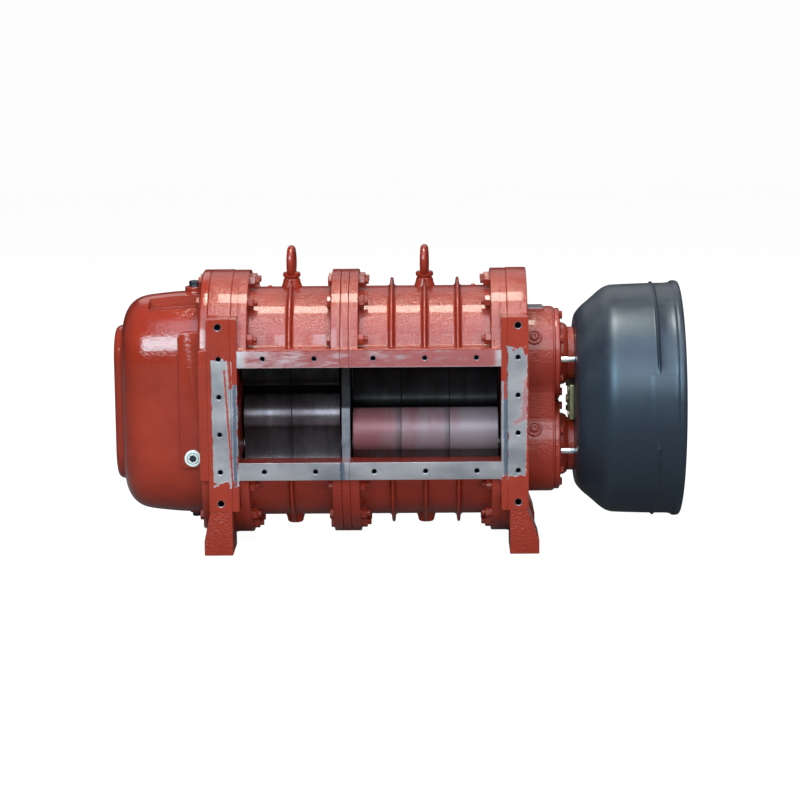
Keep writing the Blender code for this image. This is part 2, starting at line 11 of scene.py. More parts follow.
import bmesh
import bpy
import numpy as np
from mathutils import Matrix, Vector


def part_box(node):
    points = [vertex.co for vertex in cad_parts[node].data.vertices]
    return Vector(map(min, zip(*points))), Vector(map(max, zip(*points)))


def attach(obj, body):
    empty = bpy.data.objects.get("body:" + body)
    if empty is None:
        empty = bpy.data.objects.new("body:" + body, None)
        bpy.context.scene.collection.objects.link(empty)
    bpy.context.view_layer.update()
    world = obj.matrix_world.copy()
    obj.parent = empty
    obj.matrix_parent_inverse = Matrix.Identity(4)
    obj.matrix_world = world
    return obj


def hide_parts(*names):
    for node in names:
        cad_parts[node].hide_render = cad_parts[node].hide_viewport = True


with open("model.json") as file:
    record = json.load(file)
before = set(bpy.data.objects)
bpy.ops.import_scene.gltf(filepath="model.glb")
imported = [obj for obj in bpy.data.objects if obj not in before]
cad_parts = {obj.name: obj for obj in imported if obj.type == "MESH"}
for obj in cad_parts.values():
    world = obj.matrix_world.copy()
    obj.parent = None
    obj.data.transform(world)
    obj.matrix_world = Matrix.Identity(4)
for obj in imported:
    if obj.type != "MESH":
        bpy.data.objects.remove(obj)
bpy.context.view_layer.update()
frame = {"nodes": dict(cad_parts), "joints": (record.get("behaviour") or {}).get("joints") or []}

low = {name: np.array(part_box(name)[0]) for name in frame["nodes"]}
high = {name: np.array(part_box(name)[1]) for name in frame["nodes"]}
shaft_z = {joint["child"].split("_")[0]: joint["pos_m"][2] for joint in frame["joints"]}
MID_Z = (shaft_z["upper"] + shaft_z["lower"]) / 2
HALF_GAP = (shaft_z["upper"] - shaft_z["lower"]) / 2
print(f"shafts at {shaft_z}, {len(frame['nodes'])} nodes")

# %% Sizes that the castings share
FACE_Y = -low["left_casing"][1]
FLANGE_R = 0.208
BARREL_R = 0.166
CHAMBER_R = 0.150
SHAFT_R = 0.035
SEAT_GAP = 0.0003                      # between two castings that sit on one another
RAIL_HALF_H = 0.155
POST_HALF_H = 0.2295
PORT_HALF_H = 0.1125
HOLE_PITCH_X = 0.120
SHORT_X = (low["lower_short_rotor_1"][0] - 0.005, low["middle_plate"][0])
LONG_X = (high["middle_plate"][0], high["lower_long_rotor_3"][0] + 0.005)
SHORT_MID = sum(SHORT_X) / 2
LONG_MID = sum(LONG_X) / 2
LEFT_PLATE_X = (high["gear_case"][0], low["left_casing"][0])
RIGHT_PLATE_X = (high["right_casing"][0], low["bearing_housing"][0])
print(f"port face at y {-FACE_Y:.3f}, chambers {SHORT_X} and {LONG_X}")

# %% [markdown]
# The camera comes first, because every later choice is judged through it. The photograph was taken from far off
# with a long lens, a little above the shafts. Fitting the tapped holes and the outline gave its turn, height,
# distance and a roll of half a degree. A small shift puts the machine a few pixels left, where the photo has it.

# %% Camera
PHOTO_SIDE = 800                       # pixels
AIM_PIXEL = (397.09, 401.21)           # where the point the camera looks at lands in the photo
AIM = np.array((0.0, 0.0, 0.330))
AZIMUTH = math.radians(-0.890)
ELEVATION = math.radians(9.637)
ROLL = math.radians(0.574)
DISTANCE = 6.351
LENS_MM = 118.55
SENSOR_MM = 36.0


def new_object(name, data):
    """An object of this data, linked to the scene."""
    made = bpy.data.objects.new(name, data)
    bpy.context.scene.collection.objects.link(made)
    return made


def stand(thing, side, up, back, place):
    """Sets an object's matrix from its own three axes and its place."""
    matrix = np.eye(4)
    matrix[:3] = np.stack([side, up, back, place], 1)
    thing.matrix_world = Matrix(matrix.tolist())


def make_camera():
    """Looks along `forward` from DISTANCE away. Its own axes are the level ones turned by the roll."""
    flat = math.cos(ELEVATION)
    forward = np.array((math.sin(AZIMUTH) * flat, math.cos(AZIMUTH) * flat, -math.sin(ELEVATION)))
    right = np.array((math.cos(AZIMUTH), -math.sin(AZIMUTH), 0.0))
    up = np.cross(right, forward)
    side = math.cos(ROLL) * right - math.sin(ROLL) * up
    top = math.sin(ROLL) * right + math.cos(ROLL) * up
    data = bpy.data.cameras.new("photo_camera")
    data.lens = LENS_MM
    data.sensor_width = SENSOR_MM
    data.sensor_fit = "HORIZONTAL"
    data.shift_x = (PHOTO_SIDE / 2 - AIM_PIXEL[0]) / PHOTO_SIDE
    data.shift_y = (AIM_PIXEL[1] - PHOTO_SIDE / 2) / PHOTO_SIDE
    data.clip_end = 100.0
    camera = new_object("photo_camera", data)
    stand(camera, side, top, -forward, AIM - DISTANCE * forward)
    bpy.context.scene.camera = camera
    return camera


camera = make_camera()
print(f"camera at {[round(v, 3) for v in camera.location]}")

# %% [markdown]
# Nearly everything on this machine is either a profile carried round an axis or an outline carried along the
# shafts. Both are grids of points, so numpy works them out as whole arrays and one function skins any grid.
# A shape is kept as its points and faces until it is finished, so that several can be joined into one mesh.

# %% Shapes from grids
def loft(rings, closed=False):
    """Skins a grid: point j of ring i joins its neighbours in the ring and the same point of the next ring.

    An open stack of rings gets a flat cap at each end. A closed one joins its last ring to its first.
    """
    rings = np.asarray(rings, float)
    count, around = rings.shape[:2]
    index = np.arange(count * around).reshape(count, around)
    here = index if closed else index[:-1]
    there = np.roll(index, -1, 0) if closed else index[1:]
    corners = [here, np.roll(here, -1, 1), np.roll(there, -1, 1), there]
    faces = np.stack(corners, -1).reshape(-1, 4).tolist()
    if not closed:
        faces += [index[0, ::-1].tolist(), index[-1].tolist()]
    return rings.reshape(-1, 3), faces


def together(*shapes):
    """Several shapes as one, with each shape's face numbers moved past the points before it."""
    starts = np.cumsum([0] + [len(points) for points, _ in shapes])
    faces = [[int(start) + i for i in face] for start, (_, own) in zip(starts, shapes) for face in own]
    return np.concatenate([points for points, _ in shapes]), faces


def axis_frame(axis):
    """An axis as a unit vector, and two more at right angles to it, the first one level."""
    direction = np.asarray(axis, float) / np.linalg.norm(axis)
    helper = np.array((0.0, 0.0, 1.0)) if abs(direction[2]) < 0.9 else np.array((0.0, 1.0, 0.0))
    side = np.cross(helper, direction)
    side /= np.linalg.norm(side)
    return direction, side, np.cross(direction, side)


def turned(profile, base, axis, steps=48, closed=False, start=0.0):
    """Carries a profile of (distance along the axis, radius) round it.

    A point is base + distance * axis + radius * (cos a * side + sin a * other), with a going once round.
    """
    profile = np.asarray(profile, float)
    direction, side, other = axis_frame(axis)
    turn = start + np.linspace(0.0, 2 * np.pi, steps, endpoint=False)
    spokes = np.cos(turn)[:, None] * side + np.sin(turn)[:, None] * other
    rings = np.asarray(base, float) + profile[:, None, :1] * direction + profile[:, None, 1:] * spokes
    return loft(rings, closed)


print("grids and turned profiles ready")

# %% [markdown]
# Real edges are never quite sharp, and a path with eased corners gives them without a modifier. An outline is a
# closed path, and a prism carries it straight on. Blocks that no path can describe are bevelled edge by edge.

# %% Paths, outlines and blocks
def soften(path, reach, steps=4):
    """Rounds the inner corners of a path in any number of dimensions.

    Each corner c gives way to (1-t)^2 a + 2t(1-t) c + t^2 b, where a and b lie `reach` before and after it.
    """
    path = np.asarray(path, float)
    reach = np.broadcast_to(reach, len(path))
    t = np.linspace(0.0, 1.0, steps + 1)[:, None]
    parts = [path[:1]]
    for before, corner, after, give in zip(path, path[1:], path[2:], reach[1:]):
        a = corner + (before - corner) * min(give / np.linalg.norm(before - corner), 0.5)
        b = corner + (after - corner) * min(give / np.linalg.norm(after - corner), 0.5)
        parts.append((1 - t) ** 2 * a + 2 * t * (1 - t) * corner + t ** 2 * b)
    parts.append(path[-1:])
    return np.concatenate(parts)


def soft_outline(corners, reach, steps=4):
    """A closed outline with every corner rounded: the path starts and ends halfway along its last side."""
    corners = np.asarray(corners, float)
    start = (corners[-1:] + corners[:1]) / 2
    return soften(np.concatenate([start, corners, start]), reach, steps)[:-1]


def prism(outline, span, axis):
    """An outline carried straight along one axis, 0 for X to 2 for Z. It gives the other two in order."""
    outline = np.asarray(outline, float)
    rings = np.zeros((2, len(outline), 3))
    rings[:, :, [i for i in range(3) if i != axis]] = outline
    rings[:, :, axis] = np.asarray(span)[:, None]
    return loft(rings)


def block(x, y, z):
    """A box between two values on each axis."""
    return prism([(y[0], z[0]), (y[1], z[0]), (y[1], z[1]), (y[0], z[1])], x, 0)


def bevelled(shape, width, segments=3, angle=30.0):
    """The same shape with every edge sharper than `angle` rounded over `width`."""
    bm = bmesh.new()
    points = [bm.verts.new(point) for point in shape[0]]
    for face in shape[1]:
        bm.faces.new([points[i] for i in face])
    bmesh.ops.recalc_face_normals(bm, faces=bm.faces)
    sharp = [edge for edge in bm.edges if edge.calc_face_angle(0.0) > math.radians(angle)]
    bmesh.ops.bevel(bm, geom=sharp, offset=width, segments=segments, profile=0.5, affect="EDGES",
                    clamp_overlap=True)
    bm.verts.index_update()
    result = (np.array([v.co for v in bm.verts]), [[v.index for v in face.verts] for face in bm.faces])
    bm.free()
    return result


print("paths, outlines and blocks ready")

# %% [markdown]
# A shape becomes a piece when it gets a mesh, a finish and a body to ride on. Castings are joined or cut with
# the exact Boolean, as a machinist would bore and drill them. The result is applied at once and the cutter is
# thrown away, so no tool is left in the scene. Doubles are merged before normals are made to face outwards.

# %% From shape to piece
SMOOTH_ANGLE = math.radians(32.0)


def as_object(name, shape):
    """A mesh object of one or more closed shapes, with its doubles merged and its faces outwards."""
    mesh = bpy.data.meshes.new(name)
    mesh.from_pydata(shape[0].tolist(), [], shape[1])
    tidy_mesh(mesh)
    return new_object(name, mesh)


def tidy_mesh(mesh):
    """Merges doubles, drops faces without area, turns faces outwards and smooths all but sharp edges."""
    bm = bmesh.new()
    bm.from_mesh(mesh)
    bmesh.ops.remove_doubles(bm, verts=bm.verts, dist=2e-6)
    bmesh.ops.dissolve_degenerate(bm, edges=bm.edges, dist=2e-6)
    bmesh.ops.recalc_face_normals(bm, faces=bm.faces)
    bm.to_mesh(mesh)
    bm.free()
    mesh.shade_smooth()
    mesh.set_sharp_from_angle(angle=SMOOTH_ANGLE)


def combine(piece, operation, *shapes, careful=False):
    """Joins shapes to a piece, or cuts them from it, one by one. The careful way is slow, for thin sheet."""
    for shape in shapes:
        tool = as_object("tool", shape)
        change = piece.modifiers.new("tool", "BOOLEAN")
        change.operation = operation
        change.solver = "EXACT"
        change.use_self = careful
        change.object = tool
        depsgraph = bpy.context.evaluated_depsgraph_get()
        old = piece.data
        piece.data = bpy.data.meshes.new_from_object(piece.evaluated_get(depsgraph))
        piece.data.name = old.name
        piece.modifiers.clear()
        bpy.data.meshes.remove(old)
        bpy.data.objects.remove(tool)
    tidy_mesh(piece.data)


def dress(piece, finish, slot, replaced=(), body="casing"):
    """Gives a piece its finish, hides the parts it stands for, and lets it ride on a body. The slot is not used.
    """
    piece.data.materials.clear()
    piece.data.materials.append(finish)
    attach(piece, body)
    if replaced:
        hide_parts(*replaced)
    print(f"{piece.name}: {len(piece.data.polygons)} faces")


def add_piece(name, shape, *finish):
    """A shape that needs no cutting, made and dressed at once. What follows the shape is what `dress` takes."""
    dress(as_object(name, shape), *finish)


def part_faces(piece, finish, chosen):
    """Gives the faces whose centre and normal pass `chosen` another finish, and leaves the rest as they are."""
    faces = piece.data.polygons
    centres, normals = np.zeros((2, len(faces), 3))
    marks = np.zeros(len(faces), dtype=np.int32)
    for name, values in (("center", centres), ("normal", normals), ("material_index", marks)):
        faces.foreach_get(name, values.reshape(-1))
    marks[chosen(centres, normals)] = len(piece.data.materials)
    piece.data.materials.append(finish)
    faces.foreach_set("material_index", marks)


print("piece helpers ready")

# %% [markdown]
# Every finish is a set of nodes that read the object's own coordinates in metres, so a grain of 3 mm is 3 mm on
# every piece. Effects that several finishes share are node groups with named sockets: each puts out a mask or a
# height, and the shader stays in the material. A small helper sets or links a node's inputs by name.

# %% Node helpers
def feed(tree, made, inputs):
    """Sets a node's inputs by name or number. A value is set, a socket is linked."""
    for name, value in inputs.items():
        socket = made.inputs[name]
        if isinstance(value, bpy.types.NodeSocket):
            tree.links.new(value, socket)
        else:
            socket.default_value = value


def node(tree, kind, inputs=None, **properties):
    """A new node with its properties set and its inputs fed."""
    made = tree.nodes.new(kind)
    for name, value in properties.items():
        setattr(made, name, value)
    feed(tree, made, inputs or {})
    return made


def maths(tree, operation, a, b=0.0, clamp=False):
    """One sum: the operation on a and b, held between 0 and 1 if clamped."""
    return node(tree, "ShaderNodeMath", {0: a, 1: b}, operation=operation, use_clamp=clamp).outputs[0]


def product(tree, *factors):
    """All factors multiplied, from left to right."""
    total = factors[0]
    for factor in factors[1:]:
        total = maths(tree, "MULTIPLY", total, factor)
    return total


def strongest(tree, masks):
    """The largest of the masks, and 0 where there is none."""
    most = 0.0
    for mask in masks:
        most = maths(tree, "MAXIMUM", most, mask)
    return most


def vector_maths(tree, operation, a, b, result="Vector"):
    """The operation on vectors a and b."""
    return node(tree, "ShaderNodeVectorMath", {0: a, 1: b}, operation=operation).outputs[result]


def split_vector(tree, vector):
    """The X, Y and Z of a vector."""
    return node(tree, "ShaderNodeSeparateXYZ", {"Vector": vector}).outputs


def plain_normal(tree):
    """The surface's normal before any bump."""
    return node(tree, "ShaderNodeNewGeometry").outputs["Normal"]


def bump(tree, height, **inputs):
    """A normal from a height in millimetres."""
    return node(tree, "ShaderNodeBump", {"Height": height, "Distance": 0.001, **inputs}).outputs["Normal"]


def blend(tree, factor, a, b, kind="RGBA"):
    """Mixes two colours or two values by a factor."""
    made = node(tree, "ShaderNodeMix", data_type=kind)
    label = {"RGBA": "Color", "FLOAT": "Float"}[kind]
    number = {socket.identifier: i for i, socket in enumerate(made.inputs)}
    feed(tree, made, {number["Factor_Float"]: factor, number[f"A_{label}"]: a, number[f"B_{label}"]: b})
    return next(socket for socket in made.outputs if socket.identifier == f"Result_{label}")


def remap(tree, value, low_in, high_in, low_out=0.0, high_out=1.0):
    """A smooth step from low_in to high_in."""
    ends = {"Value": value, "From Min": low_in, "From Max": high_in, "To Min": low_out, "To Max": high_out}
    return node(tree, "ShaderNodeMapRange", ends, interpolation_type="SMOOTHSTEP").outputs["Result"]


def noise(tree, where, scale, detail=3.0, roughness=0.5):
    """Cloudy values about 0.5, with `scale` clouds to the metre."""
    inputs = {"Vector": where, "Scale": scale, "Detail": detail, "Roughness": roughness}
    return node(tree, "ShaderNodeTexNoise", inputs).outputs["Fac"]


def stretched(tree, where, scale):
    """Coordinates scaled by a different amount on each axis, which draws a pattern out into streaks."""
    return node(tree, "ShaderNodeMapping", {"Vector": where, "Scale": scale}).outputs["Vector"]


print("node helpers ready")

# %% [markdown]
# A node group is a small tree of its own with named sockets, built once and placed in as many materials as want
# it. Materials all begin the same way too, with their shader and the piece's own coordinates.

# %% Groups and materials
def new_group(name, inputs, outputs):
    """An empty node group with its sockets. Inputs are (name, kind, default), outputs are (name, kind)."""
    tree = bpy.data.node_groups.new(name, "ShaderNodeTree")
    for label, kind, value in inputs:
        socket = tree.interface.new_socket(label, in_out="INPUT", socket_type=f"NodeSocket{kind}")
        socket.default_value = value
    for label, kind in outputs:
        tree.interface.new_socket(label, in_out="OUTPUT", socket_type=f"NodeSocket{kind}")
    return tree, tree.nodes.new("NodeGroupInput").outputs, tree.nodes.new("NodeGroupOutput").inputs


def use_group(tree, group, inputs):
    """A node group placed in a tree, with its inputs fed."""
    return node(tree, "ShaderNodeGroup", inputs, node_tree=group).outputs


def new_material(name):
    """A material, its node tree, its shader, and the piece's own coordinates."""
    material = bpy.data.materials.new(name)
    material.use_nodes = True
    tree = material.node_tree
    return material, tree, tree.nodes["Principled BSDF"], node(tree, "ShaderNodeTexCoord").outputs["Object"]


print("group and material helpers ready")

# %% [markdown]
# Three effects are shared. Cast skin is the slow wave of brushed paint over a sand-cast surface with its fine
# grain. Edge rub marks where a rounded-off normal departs from the true one, which is where paint and oxide go
# first. A ragged patch is a box in the machine's own coordinates whose border noise has eaten into: that is how
# a masked port face looks after the painter has been round it.

# %% Shared effects
def cast_skin_group():
    """Height in millimetres: waves of one size plus grain of another, each times its own depth."""
    inputs = (("Place", "Vector", (0, 0, 0)), ("Wave Scale", "Float", 30.0), ("Wave Depth", "Float", 0.2),
              ("Grain Scale", "Float", 300.0), ("Grain Depth", "Float", 0.03))
    tree, given, wanted = new_group("Cast skin", inputs, (("Height", "Float"),))
    waves = noise(tree, given["Place"], given["Wave Scale"], 2.0)
    grain = noise(tree, stretched(tree, given["Place"], (0.7, 1.0, 1.0)), given["Grain Scale"], 3.0, 0.6)
    waves = product(tree, waves, given["Wave Depth"])
    grain = product(tree, grain, given["Grain Depth"])
    tree.links.new(maths(tree, "ADD", waves, grain), wanted["Height"])
    return tree


def edge_rub_group():
    """A normal rounded over Width at every edge, and a mask of one minus its dot product with the true one,
    broken up by noise."""
    inputs = (("Place", "Vector", (0, 0, 0)), ("Width", "Float", 0.002), ("Patch Scale", "Float", 60.0),
              ("Amount", "Float", 1.0))
    tree, given, wanted = new_group("Edge rub", inputs, (("Mask", "Float"), ("Rounded", "Vector")))
    rounded = node(tree, "ShaderNodeBevel", {"Radius": given["Width"]}, samples=4).outputs["Normal"]
    dot = vector_maths(tree, "DOT_PRODUCT", rounded, plain_normal(tree), "Value")
    edge = remap(tree, maths(tree, "SUBTRACT", 1.0, dot), 0.02, 0.20)
    patches = remap(tree, noise(tree, given["Place"], given["Patch Scale"], 5.0, 0.7), 0.45, 0.62)
    mask = maths(tree, "MULTIPLY", product(tree, edge, patches), given["Amount"], clamp=True)
    tree.links.new(mask, wanted["Mask"])
    tree.links.new(rounded, wanted["Rounded"])
    return tree


def ragged_patch_group():
    """Mask: inside a rectangle of x and z. The distances to its sides, each over its own Ragged width, are
    compared with a noise from 0 to 1: the border lies where the least of them equals the noise."""
    inputs = (("Place", "Vector", (0, 0, 0)), ("Low", "Vector", (0, 0, 0)), ("High", "Vector", (1, 1, 1)),
              ("Ragged", "Vector", (0.006, 1.0, 0.006)), ("Scale", "Float", 90.0))
    tree, given, wanted = new_group("Ragged patch", inputs, (("Mask", "Float"),))
    least = None
    for ends in (("Place", "Low"), ("High", "Place")):
        gap = vector_maths(tree, "SUBTRACT", given[ends[0]], given[ends[1]])
        split = split_vector(tree, vector_maths(tree, "DIVIDE", gap, given["Ragged"]))
        for axis in ("X", "Z"):
            least = split[axis] if least is None else maths(tree, "MINIMUM", least, split[axis])
    eaten = remap(tree, noise(tree, given["Place"], given["Scale"], 4.0, 0.6), 0.30, 0.72)
    tree.links.new(remap(tree, maths(tree, "SUBTRACT", least, eaten), 0.0, 0.10), wanted["Mask"])
    return tree


CAST_SKIN = cast_skin_group()
EDGE_RUB = edge_rub_group()
RAGGED_PATCH = ragged_patch_group()
print("groups:", [group.name for group in bpy.data.node_groups])

# %% [markdown]
# On the port face the paint stops, and milled iron shows inside ragged patches. Its border falls in the middle of
# a face, so it can't be a matter of which face has which finish. It is a mask, worked out from a short table of
# boxes in the machine's own metres, and the same table serves the back.

# %% Colours and bare patches of the port face
RED = (0.235, 0.0225, 0.0095, 1.0)
DEEP_RED = (0.150, 0.0120, 0.0055, 1.0)
PRIMER = (0.26, 0.11, 0.085, 1.0)
MILLED = (0.60, 0.58, 0.60, 1.0)
MILLED_DARK = (0.34, 0.345, 0.375, 1.0)
BLUED = (0.17, 0.21, 0.29, 1.0)
PAINT_FILM = (0.215, 0.050, 0.050, 1.0)
FACE_SKIN = 0.0006                     # how deep behind the port face a patch still counts
PORT_TOP = MID_Z + PORT_HALF_H
PORT_FOOT = MID_Z - PORT_HALF_H
FACE_PATCHES = (                       # (x range), (z range), (ragged in x, in z), noise scale
    ((-0.4300, -0.3800), (0.163, 0.476), (0.0022, 0.016), 38.0),
    ((LEFT_PLATE_X[1] - 0.006, SHORT_X[0] + 0.002), (0.160, 0.425), (0.0060, 0.030), 26.0),
    ((SHORT_X[0] - 0.001, LONG_X[1] + 0.001), (0.1770, PORT_FOOT + 0.002), (0.001, 0.0015), 90.0),
    ((SHORT_X[0] - 0.001, LONG_X[1] + 0.001), (PORT_TOP - 0.002, 0.4875), (0.001, 0.0030), 60.0),
    ((LONG_X[1] - 0.002, RIGHT_PLATE_X[0] + 0.002), (0.172, 0.420), (0.0030, 0.030), 34.0),
    ((0.2570, 0.3095), (0.174, 0.500), (0.0060, 0.024), 30.0),
)
RED_STROKES = (                        # brush strokes over the bare iron: (x, z) from and to, half width
    ((-0.3985, 0.440), (-0.3830, 0.166), 0.0030),
    ((-0.3890, 0.490), (-0.3840, 0.402), 0.0050),
    ((0.2520, 0.500), (0.2560, 0.372), 0.0040),
    ((0.3110, 0.300), (0.3060, 0.180), 0.0055),
    ((0.3105, 0.520), (0.3040, 0.476), 0.0060),
)
BLUE_STROKES = (                       # iron turned blue by the grinder, beside the port
    ((-0.3750, 0.405), (-0.3770, 0.160), 0.0045),
    ((0.2560, 0.430), (0.2560, 0.172), 0.0050),
    ((-0.1270, PORT_FOOT), (-0.1270, 0.178), 0.0060),
)
FILM_STROKES = (                       # thin overspray on the right post
    ((0.3060, 0.412), (0.3000, 0.330), 0.0100),
    ((0.3060, 0.326), (0.2790, 0.314), 0.0060),
)


def bare_face_mask(tree, place):
    """Where a port face is bare, where a face is a port face at all, and the place with its y made positive.

    The back is patched as the front is, because both are read through that positive y."""
    split = split_vector(tree, place)
    depth = maths(tree, "ABSOLUTE", split["Y"])
    mirrored = node(tree, "ShaderNodeCombineXYZ", {"X": split["X"], "Y": depth, "Z": split["Z"]}).outputs[0]
    mask = strongest(tree, [use_group(tree, RAGGED_PATCH, {
        "Place": mirrored, "Low": (x0, 0.0, z0), "High": (x1, 1.0, z1), "Ragged": (wide, 1.0, tall),
        "Scale": scale})["Mask"] for (x0, x1), (z0, z1), (wide, tall), scale in FACE_PATCHES])
    facing = maths(tree, "ABSOLUTE", split_vector(tree, plain_normal(tree))["Y"])
    on_face = product(tree, maths(tree, "GREATER_THAN", facing, 0.95),
                      maths(tree, "GREATER_THAN", depth, FACE_Y - FACE_SKIN))
    return product(tree, mask, on_face), on_face, mirrored


print(f"{len(FACE_PATCHES)} bare patches")

# %% [markdown]
# A painter's brush strays over a masked edge, overspray drifts and a grinder leaves the iron blue. Each such mark
# is a line with a ragged width, so one function draws them all. The thin red along the top rail is a cloud.

# %% Strokes and overspray
def stroke_mask(tree, mirrored, start, end, half_width):
    """One minus the distance to a line over its half width, between the line's ends.

    The share along the line is (p - start) . (end - start) / |end - start|^2, held between 0 and 1.
    """
    start, end = np.array((start[0], 0.0, start[1])), np.array((end[0], 0.0, end[1]))
    reach = end - start
    flat = vector_maths(tree, "MULTIPLY", mirrored, (1.0, 0.0, 1.0))
    away = vector_maths(tree, "SUBTRACT", flat, tuple(start))
    share = vector_maths(tree, "DOT_PRODUCT", away, tuple(reach / (reach @ reach)), "Value")
    held = maths(tree, "MULTIPLY", share, 1.0, clamp=True)
    foot = node(tree, "ShaderNodeVectorMath", {0: tuple(reach), "Scale": held}, operation="SCALE").outputs[0]
    gap = vector_maths(tree, "DISTANCE", away, foot, "Value")
    wobble = product(tree, noise(tree, mirrored, 120.0, 3.0), half_width * 1.6)
    return remap(tree, maths(tree, "SUBTRACT", gap, wobble), half_width * 0.5, -half_width * 0.3)


def strokes(tree, mirrored, table):
    """The strongest of a table's strokes."""
    return strongest(tree, [stroke_mask(tree, mirrored, *stroke) for stroke in table])


def rail_film(tree, mirrored):
    """How much thin red lies over the top rail, more of it towards the right."""
    split = split_vector(tree, mirrored)
    cloud = noise(tree, stretched(tree, mirrored, (14.0, 14.0, 50.0)), 1.0, 5.0, 0.65)
    leaning = maths(tree, "ADD", cloud, product(tree, split["X"], 0.25))
    return product(tree, remap(tree, split["Z"], PORT_TOP - 0.004, PORT_TOP + 0.004),
                   remap(tree, split["X"], SHORT_X[0] - 0.002, SHORT_X[0] + 0.030),
                   remap(tree, split["X"], LONG_X[1] + 0.002, LONG_X[1] - 0.020),
                   remap(tree, leaning, 0.26, 0.52, 0.50, 1.0))


print(f"{len(RED_STROKES + BLUE_STROKES + FILM_STROKES)} strokes")

# %% [markdown]
# The red enamel is what one sees first: a glossy brick red, brushed on thickly enough to keep its waves. Its
# colour drifts a little from patch to patch, and the edges are rubbed to a paler primer. On the port face the
# same material turns to milled iron, so that the border between the two is a mask and not an edge.

# %% Red enamel
def milled_face(tree, place, colour, gloss, height):
    """Enamel that turns to milled iron in the patches: colour, roughness and height, and where it is metal."""
    bare, on_face, mirrored = bare_face_mask(tree, place)
    height = product(tree, height, remap(tree, on_face, 0.0, 1.0, 1.0, 0.35))
    milling = noise(tree, stretched(tree, place, (420.0, 420.0, 25.0)), 1.0, 3.0, 0.6)
    stains = noise(tree, stretched(tree, place, (8.0, 8.0, 14.0)), 1.0, 3.0, 0.5)
    red, film, blue = [strokes(tree, mirrored, table) for table in (RED_STROKES, FILM_STROKES, BLUE_STROKES)]
    film = strongest(tree, [rail_film(tree, mirrored), product(tree, film, 0.8)])
    iron = blend(tree, remap(tree, stains, 0.34, 0.66), MILLED, MILLED_DARK)
    for mask, tint in ((blue, BLUED), (film, PAINT_FILM), (red, RED)):
        iron = blend(tree, mask, iron, tint)
    unpainted = maths(tree, "SUBTRACT", 1.0, strongest(tree, [red, film]))
    return (blend(tree, bare, colour, iron),
            blend(tree, bare, gloss, remap(tree, milling, 0.3, 0.7, 0.30, 0.46), "FLOAT"),
            blend(tree, bare, height, product(tree, milling, 0.02), "FLOAT"),
            product(tree, bare, unpainted, 0.85))


def make_enamel(name, port_face=False, deep=0.0, skin=(24.0, 0.18, 200.0, 2.30), gloss=(0.10, 0.18)):
    """Glossy brick-red enamel, bare in the patches when it is for a port face.

    The deep value shifts it to the darker red, and skin gives the scale and depth of the waves and the grain.
    """
    material, tree, shader, place = new_material(name)
    drift = remap(tree, noise(tree, place, 9.0, 4.0, 0.6), 0.30, 0.72, deep, 0.55 + deep)
    colour = blend(tree, drift, RED, DEEP_RED)
    edges = use_group(tree, EDGE_RUB, {"Place": place, "Width": 0.0016, "Patch Scale": 55.0, "Amount": 0.25})
    colour = blend(tree, edges["Mask"], colour, PRIMER)
    names = ("Wave Scale", "Wave Depth", "Grain Scale", "Grain Depth")
    height = use_group(tree, CAST_SKIN, {"Place": place, **dict(zip(names, skin))})["Height"]
    gloss = remap(tree, noise(tree, place, 60.0, 3.0), 0.3, 0.7, *gloss)
    if port_face:
        colour, gloss, height, metal = milled_face(tree, place, colour, gloss, height)
        feed(tree, shader, {"Metallic": metal})
    feed(tree, shader, {"Base Color": colour, "Roughness": gloss, "Coat Weight": 0.35, "Coat Roughness": 0.06,
                        "Normal": bump(tree, height, Normal=edges["Rounded"])})
    return material


ENAMEL = make_enamel("red_enamel_cast")
FACE_ENAMEL = make_enamel("red_enamel_port_face", port_face=True)
GEAR_ENAMEL = make_enamel("red_enamel_gear_case", skin=(30.0, 0.20, 130.0, 0.85))
FITTING_ENAMEL = make_enamel("red_enamel_fittings", deep=0.25, skin=(70.0, 0.12, 200.0, 0.60),
                             gloss=(0.22, 0.32))
print("enamel ready")
